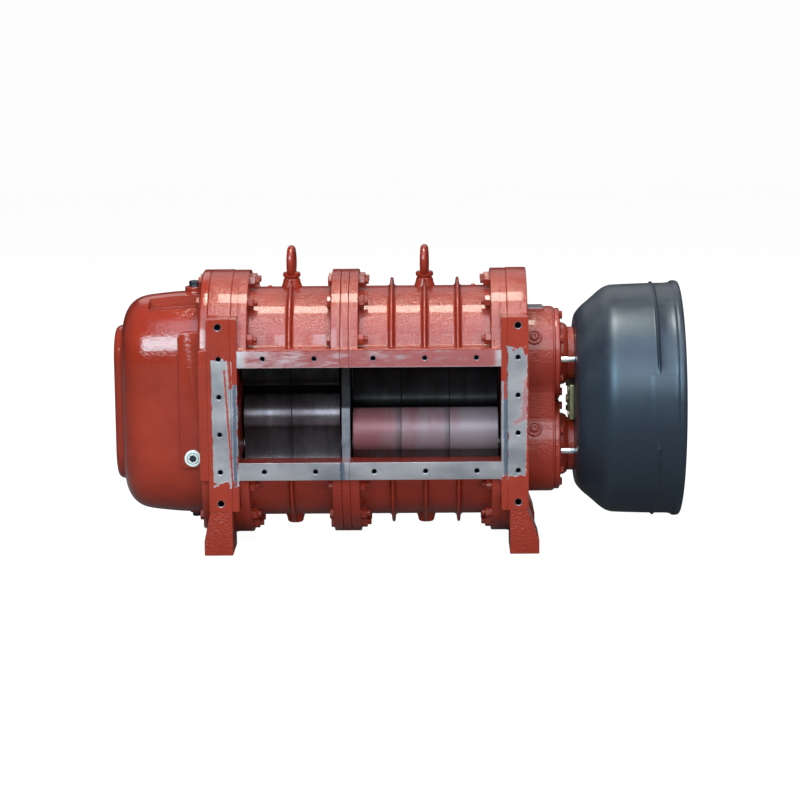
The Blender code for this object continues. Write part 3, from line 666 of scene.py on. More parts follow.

# %% [markdown]
# The metals differ in colour and in how they were worked. Each gets its own tint, its own streaks and its own
# roughness, from one function that takes those as values: rotor iron is brownish with an oil film, and the short
# chamber's lower rotor takes a darker copy of it. Chamber iron is bored round, and it, the upper rotors and the
# insides of drilled holes are near black as painted shade. Zinc is bright and slightly cloudy, yellow zinc is
# olive, and the plugs are blackened.

# %% Metals
METALS = {                             # light colour, dark colour, cloud scale, streak scale, roughness range
    "rotor_iron": ((0.18, 0.145, 0.165, 1), (0.170, 0.060, 0.068, 1), 7.0, (22.0, 3.0, 3.0), (0.42, 0.50)),
    "darker_rotor_iron": ((0.14, 0.120, 0.132, 1), (0.060, 0.045, 0.052, 1), 7.0, (22.0, 3.0, 3.0), (0.26, 0.32)),
    "rotor_shade_iron": ((0.030, 0.030, 0.033, 1), (0.012, 0.012, 0.013, 1), 9.0, (22.0, 3.0, 3.0), (0.36, 0.46)),
    "chamber_shade_iron": ((0.050, 0.050, 0.054, 1), (0.016, 0.016, 0.017, 1), 12.0, (300.0, 8.0, 8.0), (0.35, 0.55)),
    "machined_iron": ((0.46, 0.48, 0.54, 1), (0.20, 0.21, 0.25, 1), 25.0, (400.0, 12.0, 12.0), (0.28, 0.46)),
    "hole_shade_iron": ((0.020, 0.020, 0.022, 1), (0.008, 0.008, 0.009, 1), 200.0, (20.0, 900.0, 20.0), (0.40, 0.60)),
    "cloudy_zinc": ((0.88, 0.94, 0.90, 1), (0.70, 0.78, 0.74, 1), 90.0, (60.0, 60.0, 60.0), (0.30, 0.45)),
    "zinc_steel": ((0.86, 0.88, 0.90, 1), (0.62, 0.65, 0.68, 1), 60.0, (500.0, 30.0, 30.0), (0.16, 0.32)),
    "yellow_zinc": ((0.50, 0.46, 0.26, 1), (0.30, 0.28, 0.16, 1), 40.0, (60.0, 60.0, 60.0), (0.30, 0.48)),
    "dark_plug": ((0.075, 0.085, 0.105, 1), (0.030, 0.034, 0.042, 1), 90.0, (90.0, 90.0, 90.0), (0.28, 0.50)),
}


# A darker band before each joint of a rotor's sections: its colour, width and depth.
JOINT_BAND_COLOUR = (0.035, 0.030, 0.038, 1.0)
JOINT_BAND_WIDTH = 0.020
JOINT_BAND_DEPTH = 0.60
BRIGHT_RUB = (0.70, 0.68, 0.66, 1.0)


def dark_band_before(tree, along, joints):
    """A soft dark band on the left of each joint, hard against the joint itself."""
    gaps = [maths(tree, "SUBTRACT", joint, along) for joint in joints]
    return strongest(tree, [product(tree, remap(tree, gap, JOINT_BAND_WIDTH, 0.002, 0.0, JOINT_BAND_DEPTH),
                                    maths(tree, "GREATER_THAN", gap, 0.0)) for gap in gaps])


def make_metal(name, rub_colour=BRIGHT_RUB, rub=0.35, metallic=0.9, darker_left=0.0, joints=()):
    """Iron or plating by name. With darker_left the dark colour gains towards the left, per metre of x."""
    light, dark, cloud_scale, streak_scale, (smooth, rough) = METALS[name]
    material, tree, shader, place = new_material(f"{name}_worked")
    clouds = noise(tree, place, cloud_scale, 5.0, 0.6)
    streaks = noise(tree, stretched(tree, place, streak_scale), 1.0, 3.0, 0.6)
    both = maths(tree, "ADD", product(tree, clouds, 0.6), product(tree, streaks, 0.4))
    along = split_vector(tree, place)["X"]
    lighter = product(tree, maths(tree, "SUBTRACT", along, LONG_MID), darker_left)
    both = maths(tree, "SUBTRACT", both, lighter)
    colour = blend(tree, remap(tree, both, 0.36, 0.64), light, dark)
    colour = blend(tree, dark_band_before(tree, along, joints), colour, JOINT_BAND_COLOUR)
    edges = use_group(tree, EDGE_RUB, {"Place": place, "Width": 0.0012, "Amount": rub})
    feed(tree, shader, {
        "Base Color": blend(tree, edges["Mask"], colour, rub_colour), "Metallic": metallic,
        "Roughness": remap(tree, streaks, 0.3, 0.7, smooth, rough),
        "Normal": bump(tree, product(tree, streaks, 0.008), Normal=edges["Rounded"])})
    return material


def joints_in(chamber):
    """Where one section of a chamber's rotor meets the next: the left end of each but the first."""
    return [low[name][0] for name in frame["nodes"]
            if name.startswith(f"lower_{chamber}_rotor") and not name.endswith("_1")]


# The upper rotors' iron is near black: painted shade from the chamber they turn in.
ROTOR_SHADE_IRON = make_metal("rotor_shade_iron", rub=0.05)
# The short chamber's lower rotor takes a darker copy of the rotor iron.
ROTOR_FINISH = {
    "lower_long": make_metal("rotor_iron", rub=0.1, metallic=0.35, darker_left=0.9, joints=joints_in("long")),
    "lower_short": make_metal("darker_rotor_iron", rub=0.1, metallic=0.8, joints=joints_in("short")),
    "upper_long": ROTOR_SHADE_IRON, "upper_short": ROTOR_SHADE_IRON}
# The bores and end walls inside the chambers are near black: painted shade.
CHAMBER_SHADE_IRON = make_metal("chamber_shade_iron", rub=0.1)
HOLE_SHADE = make_metal("hole_shade_iron", rub=0.0)
MACHINED_IRON = make_metal("machined_iron")
ZINC = make_metal("zinc_steel", rub=0.1)
CLOUDY_ZINC = make_metal("cloudy_zinc", rub=0.1, metallic=0.5)
YELLOW_ZINC = make_metal("yellow_zinc")
DARK_PLUG = make_metal("dark_plug", (0.22, 0.23, 0.25, 1.0), 0.5)
print("metals ready")

# %% [markdown]
# The guard is satin black paint on spun sheet. Black is mostly seen by its reflections, so the colour matters
# less than the roughness: a broad soft sheen with faint rings from spinning, and thin dust on what faces up.

# %% Satin black guard paint
def make_guard_paint():
    """Rings are noise drawn out round the axis, and dust grows with how far the normal points up."""
    material, tree, shader, place = new_material("black_guard_satin")
    up = split_vector(tree, plain_normal(tree))["Z"]
    cloud = noise(tree, place, 14.0, 5.0, 0.6)
    dust = product(tree, remap(tree, up, 0.0, 0.9), remap(tree, cloud, 0.35, 0.75, 0.05, 0.45))
    colour = blend(tree, dust, (0.012, 0.017, 0.025, 1.0), (0.055, 0.068, 0.072, 1.0))
    rub = use_group(tree, EDGE_RUB, {"Place": place, "Width": 0.0014, "Amount": 0.5})["Mask"]
    rings = noise(tree, stretched(tree, place, (220.0, 3.0, 3.0)), 1.0, 3.0, 0.6)
    grain = noise(tree, place, 900.0, 2.0)
    height = maths(tree, "ADD", product(tree, rings, 0.015), product(tree, grain, 0.006))
    feed(tree, shader, {
        "Base Color": blend(tree, rub, colour, (0.12, 0.13, 0.15, 1.0)), "Normal": bump(tree, height),
        "Roughness": remap(tree, cloud, 0.3, 0.7, 0.33, 0.43), "IOR": 1.62,
        "Specular Tint": (0.66, 0.84, 1.0, 1.0)})
    return material


GUARD_PAINT = make_guard_paint()
print("guard paint ready")

# %% [markdown]
# Seen along the shafts, every large casting has one outline: a block that runs out to both port faces, with the
# two shafts' circles rising past it above and below. A small fillet joins the circle to the block's flat top.
# Written as a function of the circle's radius and the block's height, one row of (x, radius, height) stations
# gives a whole casting: flanges, barrel, ribs and posts are only changes of those two numbers along x.

# %% The castings' common outline
OUTLINE_FILLET = 0.006
OUTLINE_CORNER = 0.0016


def arc(centre_y, centre_z, radius, turn):
    """Points (y, z) on a circle, one for each angle."""
    return np.stack([centre_y + radius * np.cos(turn), centre_z + radius * np.sin(turn)], 1)


def quarter_outline(radius, half_height):
    """Points (y, z from mid height) from the port face's middle up and over to the top of the upper circle.

    The fillet's centre lies a fillet above the block and a fillet outside the circle, so it touches both.
    """
    rise = half_height + OUTLINE_FILLET - HALF_GAP
    centre_y = math.sqrt((radius + OUTLINE_FILLET) ** 2 - rise ** 2)
    touch = math.atan2(rise, centre_y)
    edge_y = FACE_Y - OUTLINE_CORNER
    edge_z = half_height - OUTLINE_CORNER
    face = np.stack([np.full(4, FACE_Y), np.linspace(0.0, edge_z, 5)[:4]], 1)
    corner = arc(edge_y, edge_z, OUTLINE_CORNER, np.linspace(0.0, np.pi / 2, 4))
    turn = np.linspace(1.5 * np.pi, np.pi + touch, 6)
    fillet = arc(centre_y, half_height + OUTLINE_FILLET, OUTLINE_FILLET, turn)
    circle = arc(0.0, HALF_GAP, radius, np.linspace(touch, np.pi / 2, 30)[1:])
    return np.concatenate([face, corner, fillet, circle])


def block_outline(radius, half_height):
    """The whole outline, from one quarter and its three mirror images."""
    first = quarter_outline(radius, half_height)
    second = first[-2::-1] * (-1, 1)
    upper = np.concatenate([first, second])
    return np.concatenate([upper, -upper[1:-1]])


def stadium(radius, steps=36):
    """Both shafts' circles joined by straight sides, with a few points along each side."""
    cap = arc(0.0, HALF_GAP, radius, np.linspace(0.0, np.pi, steps + 1))
    side = np.stack([np.full(7, -radius), np.linspace(HALF_GAP, -HALF_GAP, 9)[1:-1]], 1)
    return np.concatenate([cap, side, -cap, -side])


def waisted(radius, waist, fillet=0.010, steps=28):
    """Both shafts' circles with flat sides between them at y = waist, eased in by a fillet at each end."""
    reach = math.sqrt((radius + fillet) ** 2 - (waist + fillet) ** 2)
    low_turn = -math.atan2(reach, waist + fillet)
    circle = arc(0.0, HALF_GAP, radius, np.linspace(low_turn, np.pi / 2, steps))
    ease = arc(waist + fillet, HALF_GAP - reach, fillet, -np.linspace(np.pi, np.pi + low_turn, 5)[:-1])
    first = np.concatenate([[(waist, 0.0)], ease, circle])
    second = first[-2:0:-1] * (-1, 1)
    upper = np.concatenate([first, second, [(-waist, 0.0)]])
    return np.concatenate([upper, -upper[1:-1]])


def along_x(stations, outline):
    """Rings of an outline whose numbers change along x. Each station is (x, the outline's numbers)."""
    rings = []
    for x, *numbers in stations:
        ring = outline(*numbers)
        rings.append(np.column_stack([np.full(len(ring), x), ring[:, 0], MID_Z + ring[:, 1]]))
    return rings


print("outline points:", len(block_outline(FLANGE_R, RAIL_HALF_H)))

# %% [markdown]
# Each casing is the outline carried through its stations: end wall with posts, flange, barrel with ribs, flange.
# Corners of that path are softened, which gives the rounded flange edges and the fillets at their roots without
# any bevel. A rib is narrow at its crest and flares at its foot, as a moulded rib must to leave the sand.

# %% Stations of a casing
RIB_R = 0.186
CREST_HALF = 0.0035
RIB_HALF = 0.0095
MID_FLANGE_T = 0.022
END_FLANGE_T = 0.022
LEFT_WALL_T = SHORT_X[0] - low["left_casing"][0]
RIGHT_WALL_T = high["right_casing"][0] - LONG_X[1]
RIB_SPREAD = 0.078
RAIL_HOLE_Z = 0.1338
HOLE_R = 0.0051
HOLE_DEPTH = 0.028
REAR_BAR = 0.024
PORT_INNER_Y = 0.050                   # the ports' cutters end here, well inside the bores
FLANGE_STEP = 0.0012                   # the casings' flanges are cast this much smaller than the end plates
POST_STEP = 0.0008                     # and their ends of the posts this much shorter
BOSS_R = 0.0220
DOT_FROM_BOSS = {-1: 0.052, 1: 0.116}
SINK = 0.0016                          # countersink of the tapped holes
BOSS_TOP = low["left_lifting_eye"][2] - MID_Z - SEAT_GAP
SHAFT_CLEARANCE = 0.0006
CUT_PAST = 0.010                       # how far a cutter runs past the surface that it opens


def rib_stations(x):
    """A rib from foot to foot: (x, radius, block height)."""
    half = ((-RIB_HALF, BARREL_R), (-0.0055, BARREL_R + 0.003), (-CREST_HALF, RIB_R - 0.002), (-0.0015, RIB_R),
            (0.0015, RIB_R), (CREST_HALF, RIB_R - 0.002), (0.0055, BARREL_R + 0.003), (RIB_HALF, BARREL_R))
    return [(x + along, radius, RAIL_HALF_H) for along, radius in half]


def casing_stations(chamber, out, wall, ribs_x):
    """The whole casing's path, built towards its end wall, which is on the left with out at -1."""
    flange = FLANGE_R - FLANGE_STEP
    inner, outer = (chamber[0], chamber[1] + wall) if out > 0 else (chamber[1], chamber[0] - wall)
    edge = 0.0004
    path = [(inner + out * edge, flange, RAIL_HALF_H), (inner + out * MID_FLANGE_T, flange, RAIL_HALF_H),
            (inner + out * (MID_FLANGE_T + 0.001), BARREL_R, RAIL_HALF_H)]
    for x in sorted(ribs_x, key=lambda value: out * value):
        path += rib_stations(x)[::out]
    face = outer - out * (wall + END_FLANGE_T)
    path += [(face - out * 0.001, BARREL_R, RAIL_HALF_H), (face, flange, RAIL_HALF_H),
             (outer - out * (wall + 0.0005), flange, RAIL_HALF_H),
             (outer - out * wall, flange, POST_HALF_H - POST_STEP),
             (outer - out * edge, flange, POST_HALF_H - POST_STEP)]
    return soften(path, 0.0024, 3)


print("stations of the short casing:", len(casing_stations(SHORT_X, -1, LEFT_WALL_T, (SHORT_MID,))))

# %% [markdown]
# The chambers, ports and tapped holes are cut by Boolean, like the machining they are. A cutter runs a little
# past the surface it opens, because two faces that lie in one plane give an exact Boolean nothing to decide by.

# %% Cutters and bosses
def port_holes(places, radius):
    """Countersunk blind holes at these (x, z) of both port faces, as one cutter."""
    profile = ((-0.004, radius + SINK + 0.004), (SINK, radius), (HOLE_DEPTH, radius), (HOLE_DEPTH + 0.003, 0.0))
    return together(*[turned(profile, (x, side * FACE_Y, z), (0.0, -side, 0.0), 24)
                      for x, z in places for side in (-1, 1)])


def bore_for_shafts(piece, x0, length, radius=SHAFT_R + SHAFT_CLEARANCE, steps=48, start=0.0, careful=False):
    """Cuts both shafts' holes through a piece, from x0 to the right."""
    wall = ((0, radius), (length, radius))
    combine(piece, "DIFFERENCE", *[turned(wall, (x0, 0.0, z), (1, 0, 0), steps, start=start)
                                   for z in shaft_z.values()], careful=careful)


def twin_bores(x0, x1):
    """The two rotors' bores as one outline: two circles that meet halfway between the shafts."""
    dip = math.asin(HALF_GAP / CHAMBER_R)
    upper = arc(0.0, HALF_GAP, CHAMBER_R, np.linspace(-dip, np.pi + dip, 90)[:-1])
    outline = np.concatenate([upper, -upper]) + (0.0, MID_Z)
    return prism(outline, (x0, x1), 0)


def bosses(x, out):
    """The eye's boss on top and the plain one below, each flaring into the barrel, and a small locating dot."""
    top = ((0.150 + HALF_GAP, BOSS_R + 0.005), (0.166 + HALF_GAP, BOSS_R + 0.003),
           (0.178 + HALF_GAP, BOSS_R - 0.001), (BOSS_TOP - 0.0035, BOSS_R - 0.002),
           (BOSS_TOP - 0.0005, BOSS_R - 0.0045), (BOSS_TOP, BOSS_R - 0.007), (BOSS_TOP, 0.0))
    foot = soften(np.array(top) - (0.0, 0.001), 0.002, 3)[:-1]
    dot = ((0.160, 0.0050), (0.1685, 0.0050), (0.1700, 0.0035), (0.1700, 0.0))
    return together(turned(dot, (x + out * DOT_FROM_BOSS[out], 0.0, MID_Z + HALF_GAP), (0, 0, 1), 16),
                    turned(soften(top, 0.002, 3), (x, 0.0, MID_Z), (0, 0, 1), 40),
                    turned(foot, (x, 0.0, MID_Z), (0, 0, -1), 40))


print("cutters ready")

# %% [markdown]
# Both casings come from one function, with the left one's path turned round. What was bored is dark iron as
# painted shade, what was drilled is darker still as painted shade with a bright countersink, and the rest keeps
# the paint of its port face.

# %% Both casings
def make_casing(name, chamber, out, wall, ribs_x, boss_x, holes_x):
    """The outline along its stations, less the bores, the ports, the tapped holes and the shafts' holes."""
    stations = casing_stations(chamber, out, wall, ribs_x)
    casing = as_object(f"{name}_casting", loft(along_x(stations, block_outline)))
    open_x = (chamber[0] - (CUT_PAST if out > 0 else 0.0), chamber[1] + (CUT_PAST if out < 0 else 0.0))
    port_z = (PORT_FOOT, PORT_TOP)
    rear_x = (chamber[0] + REAR_BAR, chamber[1] - REAR_BAR)
    combine(casing, "DIFFERENCE", twin_bores(*open_x),
            block(open_x, (-FACE_Y - CUT_PAST, -PORT_INNER_Y), port_z),
            bevelled(block(rear_x, (PORT_INNER_Y, FACE_Y + CUT_PAST), port_z), 0.003))
    holes = [(x, MID_Z + sign * RAIL_HOLE_Z) for x in holes_x for sign in (-1, 1)]
    combine(casing, "DIFFERENCE", port_holes(holes, HOLE_R))
    x0 = chamber[0] - wall - CUT_PAST
    bore_for_shafts(casing, x0, chamber[1] + wall + CUT_PAST - x0)
    dress(casing, FACE_ENAMEL, "red_enamel", [name])
    # Bores and end walls take the near-black chamber iron as painted shade.
    part_faces(casing, CHAMBER_SHADE_IRON, in_chamber)
    finish_holes(casing, holes, HOLE_R)
    add_piece(f"{name}_bosses", bosses(boss_x, out), ENAMEL, "red_enamel")


def in_chamber(centres, normals):
    """Faces of the bores and of the end walls inside them."""
    x, y, z = centres.T
    lengthwise = np.abs(normals[:, 0])
    nearest = np.minimum(*[np.hypot(y, z - shaft) for shaft in shaft_z.values()])
    walls = (lengthwise > 0.9) & (x > SHORT_X[0] - 0.002) & (x < LONG_X[1] + 0.002)
    return (nearest < CHAMBER_R + 0.0006) & (np.abs(y) < 0.19) & (walls | (lengthwise < 0.5))


def finish_holes(piece, places, radius):
    """Gives the holes at these (x, z) an inside blackened as painted shade, and a bare countersink."""
    def near(centres, reach):
        """Within reach of the nearest hole's middle, seen from the front."""
        return np.any([np.hypot(centres[:, 0] - x, centres[:, 2] - z) < reach for x, z in places], axis=0)
    part_faces(piece, MACHINED_IRON, lambda centres, normals: near(centres, radius + SINK)
               & (np.abs(centres[:, 1]) > FACE_Y - SINK) & (np.abs(normals[:, 1]) < 0.95))
    # Each hole's inside is painted near black: painted shade in the drilling.
    part_faces(piece, HOLE_SHADE, lambda centres, normals: near(centres, radius + 0.0003)
               & (np.abs(centres[:, 1]) < FACE_Y - SINK + 0.0002) & (np.abs(centres[:, 1]) > FACE_Y - 0.04))


half_pitch = HOLE_PITCH_X / 2
make_casing("left_casing", SHORT_X, -1, LEFT_WALL_T, (SHORT_MID,), SHORT_MID,
            (SHORT_MID - half_pitch, SHORT_MID + half_pitch))
make_casing("right_casing", LONG_X, 1, RIGHT_WALL_T, (LONG_MID - RIB_SPREAD, LONG_MID, LONG_MID + RIB_SPREAD),
            LONG_MID, (LONG_MID - HOLE_PITCH_X, LONG_MID, LONG_MID + HOLE_PITCH_X))

# %% [markdown]
# The middle plate parts the two chambers. It is the same outline, only 20 mm thick, and its edge stands back
# inside the front port, further above the middle than below it. Its rim is painted with the casings, and what
# lies inside the port is ground iron, bare below and near black above as painted shade, so it takes three
# finishes by face.

# %% Middle plate
LOWER_EDGE_Y = 0.145
UPPER_EDGE_Y = 0.117
STEP_Z = 0.004


def make_middle_plate():
    """The outline with its rim eased over 1.2 mm, cut back to two depths inside the front port."""
    x0, x1 = SHORT_X[1] + 0.0002, LONG_X[0] - 0.0002
    radius = FLANGE_R - FLANGE_STEP
    path = soften([(x0, radius - 0.0012, RAIL_HALF_H), (x0 + 0.0012, radius, RAIL_HALF_H),
                   (x1 - 0.0012, radius, RAIL_HALF_H), (x1, radius - 0.0012, RAIL_HALF_H)], 0.0006, 2)
    plate = as_object("middle_plate_ground", loft(along_x(path, block_outline)))
    span = (x0 - CUT_PAST, x1 + CUT_PAST)
    upper = block(span, (-FACE_Y - CUT_PAST, -UPPER_EDGE_Y), (MID_Z + STEP_Z, PORT_TOP))
    lower = block(span, (-FACE_Y - CUT_PAST, -LOWER_EDGE_Y), (PORT_FOOT, MID_Z + STEP_Z + 0.001))
    combine(plate, "DIFFERENCE", upper, lower)
    bore_for_shafts(plate, x0 - 0.02, 0.06)
    dress(plate, FACE_ENAMEL, "red_enamel", ["middle_plate"])
    part_faces(plate, MACHINED_IRON, lambda centres, normals: (np.abs(centres[:, 1]) < FACE_Y - 0.005)
               & (np.abs(centres[:, 2] - MID_Z) < PORT_HALF_H - 0.001) & (centres[:, 1] < 0.2))
    # Above the step the edge takes the near-black chamber iron: painted shade under the rail.
    part_faces(plate, CHAMBER_SHADE_IRON, lambda centres, normals: (np.abs(centres[:, 1]) < FACE_Y - 0.005)
               & (centres[:, 2] > MID_Z + STEP_Z + 0.0005) & (centres[:, 2] < PORT_TOP - 0.001))


make_middle_plate()

# %% [markdown]
# The end plates carry the posts beside the port and the four feet. A foot is a short leg with one straight side
# and one that runs out to a wider sole. Plate and feet are one casting, so they are joined by Boolean rather than
# left overlapping, and the left toes are cut clear of the gear case flange just as the solid ones are.

# %% End plates and feet
FOOT_DEPTH = 0.124
FOOT_TOE = {"left": 0.015, "right": 0.026}
FOOT_INSET = {"left": 0.001, "right": 0.0045}
FOOT_PAD_H = 0.034
TOE_CLEARANCE = 0.002
POST_HOLES = ((0.0446, HOLE_R), (RAIL_HOLE_Z, HOLE_R), (0.2088, 0.0072))   # (above the middle, radius)


def make_foot(inner, outer, out, toe_reach, sign):
    """A leg between two depths behind a port face, widening from outer to toe on the way down."""
    toe = outer + out * toe_reach
    outline = [(inner, MID_Z - POST_HALF_H + 0.02), (outer, MID_Z - POST_HALF_H + 0.02),
               (outer, MID_Z - POST_HALF_H), (toe, FOOT_PAD_H), (toe, 0.0), (inner, 0.0)]
    depths = sorted((sign * (FACE_Y - 0.001), sign * (FACE_Y - FOOT_DEPTH)))
    return bevelled(prism(outline, depths, 1), 0.0022, 3, 8.0)


def make_end_plate(side, span, out):
    """The outline between two values of x, joined to its feet, whose toes point to the side `out`."""
    x0, x1 = span
    edge = (FLANGE_R - 0.0018, POST_HALF_H - POST_STEP)
    path = soften([(x0, *edge), (x0 + 0.0018, FLANGE_R, POST_HALF_H),
                   (x1 - 0.0018, FLANGE_R, POST_HALF_H), (x1, *edge)], 0.001, 3)
    plate = as_object(f"{side}_plate_and_feet", loft(along_x(path, block_outline)))
    inset = FOOT_INSET[side]
    inner, outer = (x1 - inset, x0 + 0.001) if out < 0 else (x0 + inset, x1 - 0.001)
    feet = [make_foot(inner, outer, out, FOOT_TOE[side], sign) for sign in (-1, 1)]
    combine(plate, "UNION", together(*feet))
    if side == "left":
        room = stadium(FLANGE_R + TOE_CLEARANCE) + (0.0, MID_Z)
        combine(plate, "DIFFERENCE", prism(room, (x0 - 0.05, x0), 0))
    middle = x0 + (x1 - x0) / 2
    holes = [([(middle, MID_Z + sign * z) for sign in (-1, 1)], radius) for z, radius in POST_HOLES]
    combine(plate, "DIFFERENCE", together(*[port_holes(places, radius) for places, radius in holes]))
    bore_for_shafts(plate, x0 - 0.02, 0.09)
    dress(plate, FACE_ENAMEL, "red_enamel", [f"{side}_end_plate"])
    for places, radius in holes:
        finish_holes(plate, places, radius)


make_end_plate("left", LEFT_PLATE_X, -1)
make_end_plate("right", RIGHT_PLATE_X, 1)

# %% [markdown]
# The gear case is a soft dome with a stepped cap at its end. Its profile is a handful of (distance, radius)
# points eased into one curve, carried round both shafts at once as a stadium. A shelf is milled away at the upper
# front corner to reach a flange bolt, and a flat pad stands out in front to carry the oil level plug.

# %% Gear case
GEAR_FACE_X = LEFT_PLATE_X[0] - 0.020
DOME_PROFILE = (                       # (distance left of the flange, radius about each shaft, easing)
    (-0.008, 0.1650, 0.0), (-0.0005, 0.1650, 0.001), (0.003, 0.1592, 0.003), (0.030, 0.1578, 0.03),
    (0.065, 0.1568, 0.03), (0.108, 0.1524, 0.03), (0.138, 0.1486, 0.03), (0.159, 0.1420, 0.03),
    (0.1755, 0.1295, 0.03), (0.1860, 0.1140, 0.03), (0.1920, 0.0980, 0.03), (0.1945, 0.0830, 0.002),
    (0.1950, 0.0775, 0.002), (0.2065, 0.0752, 0.008), (0.2135, 0.0690, 0.008), (0.2150, 0.0560, 0.0))
POCKET_X = (-0.127, 0.0)
POCKET_WALL_Y = 0.040
POCKET_FLOOR = (0.231, 0.240)          # left and right, above the middle
POCKET_OPEN_Y = 0.25                   # the pocket's cutter runs out of the dome to here, and upwards to here
POCKET_OPEN_Z = 0.32
PAD_X = (-0.052, 0.0)
PAD_OUT_Y = 0.163
PAD_Z = (-0.134, 0.190)
FILLER_X = GEAR_FACE_X - 0.022
FILLER_TOP = low["oil_filler_plug"][2] - SEAT_GAP
DRAIN_X = GEAR_FACE_X - 0.030
DRAIN_TOP = high["oil_drain_plug"][2] + SEAT_GAP


def make_gear_case():
    """A stadium whose radius follows DOME_PROFILE along x, joined to its flange, less the pocket."""
    x0, x1 = GEAR_FACE_X, LEFT_PLATE_X[0] - SEAT_GAP
    flange = soften([(x0, FLANGE_R - 0.004, RAIL_HALF_H - 0.004), (x0 + 0.0035, FLANGE_R, RAIL_HALF_H),
                     (x1 - 0.001, FLANGE_R, RAIL_HALF_H), (x1, FLANGE_R - 0.001, RAIL_HALF_H)], 0.002, 3)
    profile = np.array(DOME_PROFILE)
    dome = soften(profile[:, :2] * (-1, 1) + (GEAR_FACE_X, 0.0), profile[:, 2], 4)
    case = as_object("gear_case_dome", loft(along_x(dome, stadium)))
    combine(case, "UNION", loft(along_x(flange, block_outline)))
    left, right = GEAR_FACE_X + POCKET_X[0], GEAR_FACE_X + POCKET_X[1]
    top = MID_Z + POCKET_OPEN_Z
    corners = [(left, MID_Z + POCKET_FLOOR[0]), (right, MID_Z + POCKET_FLOOR[1]), (right, top), (left, top)]
    pocket = soft_outline(corners, (0.0, 0.006, 0.0, 0.0, 0.0, 0.0), 5)
    combine(case, "DIFFERENCE", prism(pocket, (-POCKET_OPEN_Y, -POCKET_WALL_Y), 1))
    dress(case, GEAR_ENAMEL, "red_enamel", ["gear_case"])
    left, right = GEAR_FACE_X + PAD_X[0], GEAR_FACE_X + PAD_X[1] + 0.004
    foot, top = MID_Z + PAD_Z[0], MID_Z + PAD_Z[1]
    corners = [(left, foot), (right, foot), (right, top), (left, top)]
    pad = prism(soft_outline(corners, (0, 0.016, 0, 0, 0.020, 0), 6), (-PAD_OUT_Y, -0.09), 1)
    filler = soften(((0.240, 0.029), (0.264, 0.026), (0.268, 0.024), (0.2775, 0.024), (0.279, 0.0225),
                     (0.279, 0.0)), 0.001, 2)
    drain = soften(((0.245, 0.020), (0.268, 0.018), (MID_Z - DRAIN_TOP - 0.001, 0.016),
                    (MID_Z - DRAIN_TOP, 0.015), (MID_Z - DRAIN_TOP, 0.0)), 0.001, 2)
    extras = together(bevelled(pad, 0.0022, 3), turned(filler, (FILLER_X, 0, MID_Z), (0, 0, 1), 40),
                      turned(drain, (DRAIN_X, 0, MID_Z), (0, 0, -1), 40))
    add_piece("gear_case_pad_and_bosses", extras, GEAR_ENAMEL, "red_enamel")


make_gear_case()

# %% [markdown]
# Plugs and bolts are hexagons with their corners turned off. A hexagon is the turned function with six steps, and
# the chamfer comes from a last ring of smaller radius. The level plug is round with a hexagon socket, cut by
# Boolean, on a sealing ring.

# %% Plugs
FILLER_FLATS = 0.0246
DRAIN_FLATS = 0.0172


def hexagon(base, axis, across_flats, height, chamfer=0.0012, spin=0.0):
    """A six-sided head: its corners lie across_flats / 2 / cos 30 degrees from the axis."""
    corner = across_flats / 2 / math.cos(math.pi / 6)
    profile = ((0.0, corner), (height - chamfer, corner), (height, corner - 1.6 * chamfer), (height, 0.0))
    return turned(profile, base, axis, 6, start=spin)


def thread(base, axis, radius, start, stop, pitch=0.0015):
    """A bolt's threaded end as rings: the radius goes in and out once each pitch."""
    count = int(round((stop - start) / pitch)) * 2
    along = np.linspace(start, stop, count + 1)
    depth = np.where(np.arange(count + 1) % 2 == 0, radius, radius - 0.0006)
    profile = np.column_stack([along, depth]).tolist()
    return turned(profile + [(stop + 0.0008, radius - 0.0014), (stop + 0.0008, 0.0)], base, axis, 20)


def make_plugs():
    """Two hexagons, and a turned head less a ring groove and a six-sided socket."""
    filler = together(hexagon((FILLER_X, 0, FILLER_TOP), (0, 0, 1), FILLER_FLATS, 0.014, 0.002),
                      turned(((0, 0.0130), (0.0025, 0.0130)), (FILLER_X, 0, FILLER_TOP), (0, 0, 1), 32))
    add_piece("filler_plug_hexagon", filler, DARK_PLUG, "dark_plug", ["oil_filler_plug"])
    depth = DRAIN_TOP - low["oil_drain_plug"][2]
    drain = hexagon((DRAIN_X, 0, DRAIN_TOP), (0, 0, -1), DRAIN_FLATS, depth)
    add_piece("drain_plug_hexagon", drain, DARK_PLUG, "dark_plug", ["oil_drain_plug"])
    centre = (low["oil_level_plug"] + high["oil_level_plug"]) / 2
    base = np.array((centre[0], high["oil_level_plug"][1], centre[2]))
    height = high["oil_level_plug"][1] - low["oil_level_plug"][1]
    head = soften(((0.0, 0.0188), (0.0015, 0.0188), (0.0015, 0.0200), (height - 0.0018, 0.0200),
                   (height, 0.0184), (height, 0.0)), 0.0004, 2)
    plug = as_object("level_plug_head", turned(head, base, (0, -1, 0), 56))
    groove = ((height - 0.0010, 0.0136), (height + 0.0010, 0.0140),
              (height + 0.0010, 0.0122), (height - 0.0010, 0.0126))
    socket = ((height - 0.0060, 0.0092), (height + 0.01, 0.0092))
    combine(plug, "DIFFERENCE", turned(groove, base, (0, -1, 0), 56, closed=True),
            turned(socket, base, (0, -1, 0), 6, start=0.26))
    dress(plug, CLOUDY_ZINC, "zinc_steel", ["oil_level_plug"])
    front = base[1] - height
    # The ring groove and the socket take the dark plug finish: painted shade in the recesses.
    part_faces(plug, DARK_PLUG, lambda centres, normals: (centres[:, 1] > front + 0.0004)
               & (np.hypot(centres[:, 0] - base[0], centres[:, 2] - base[2]) < 0.0141))


make_plugs()

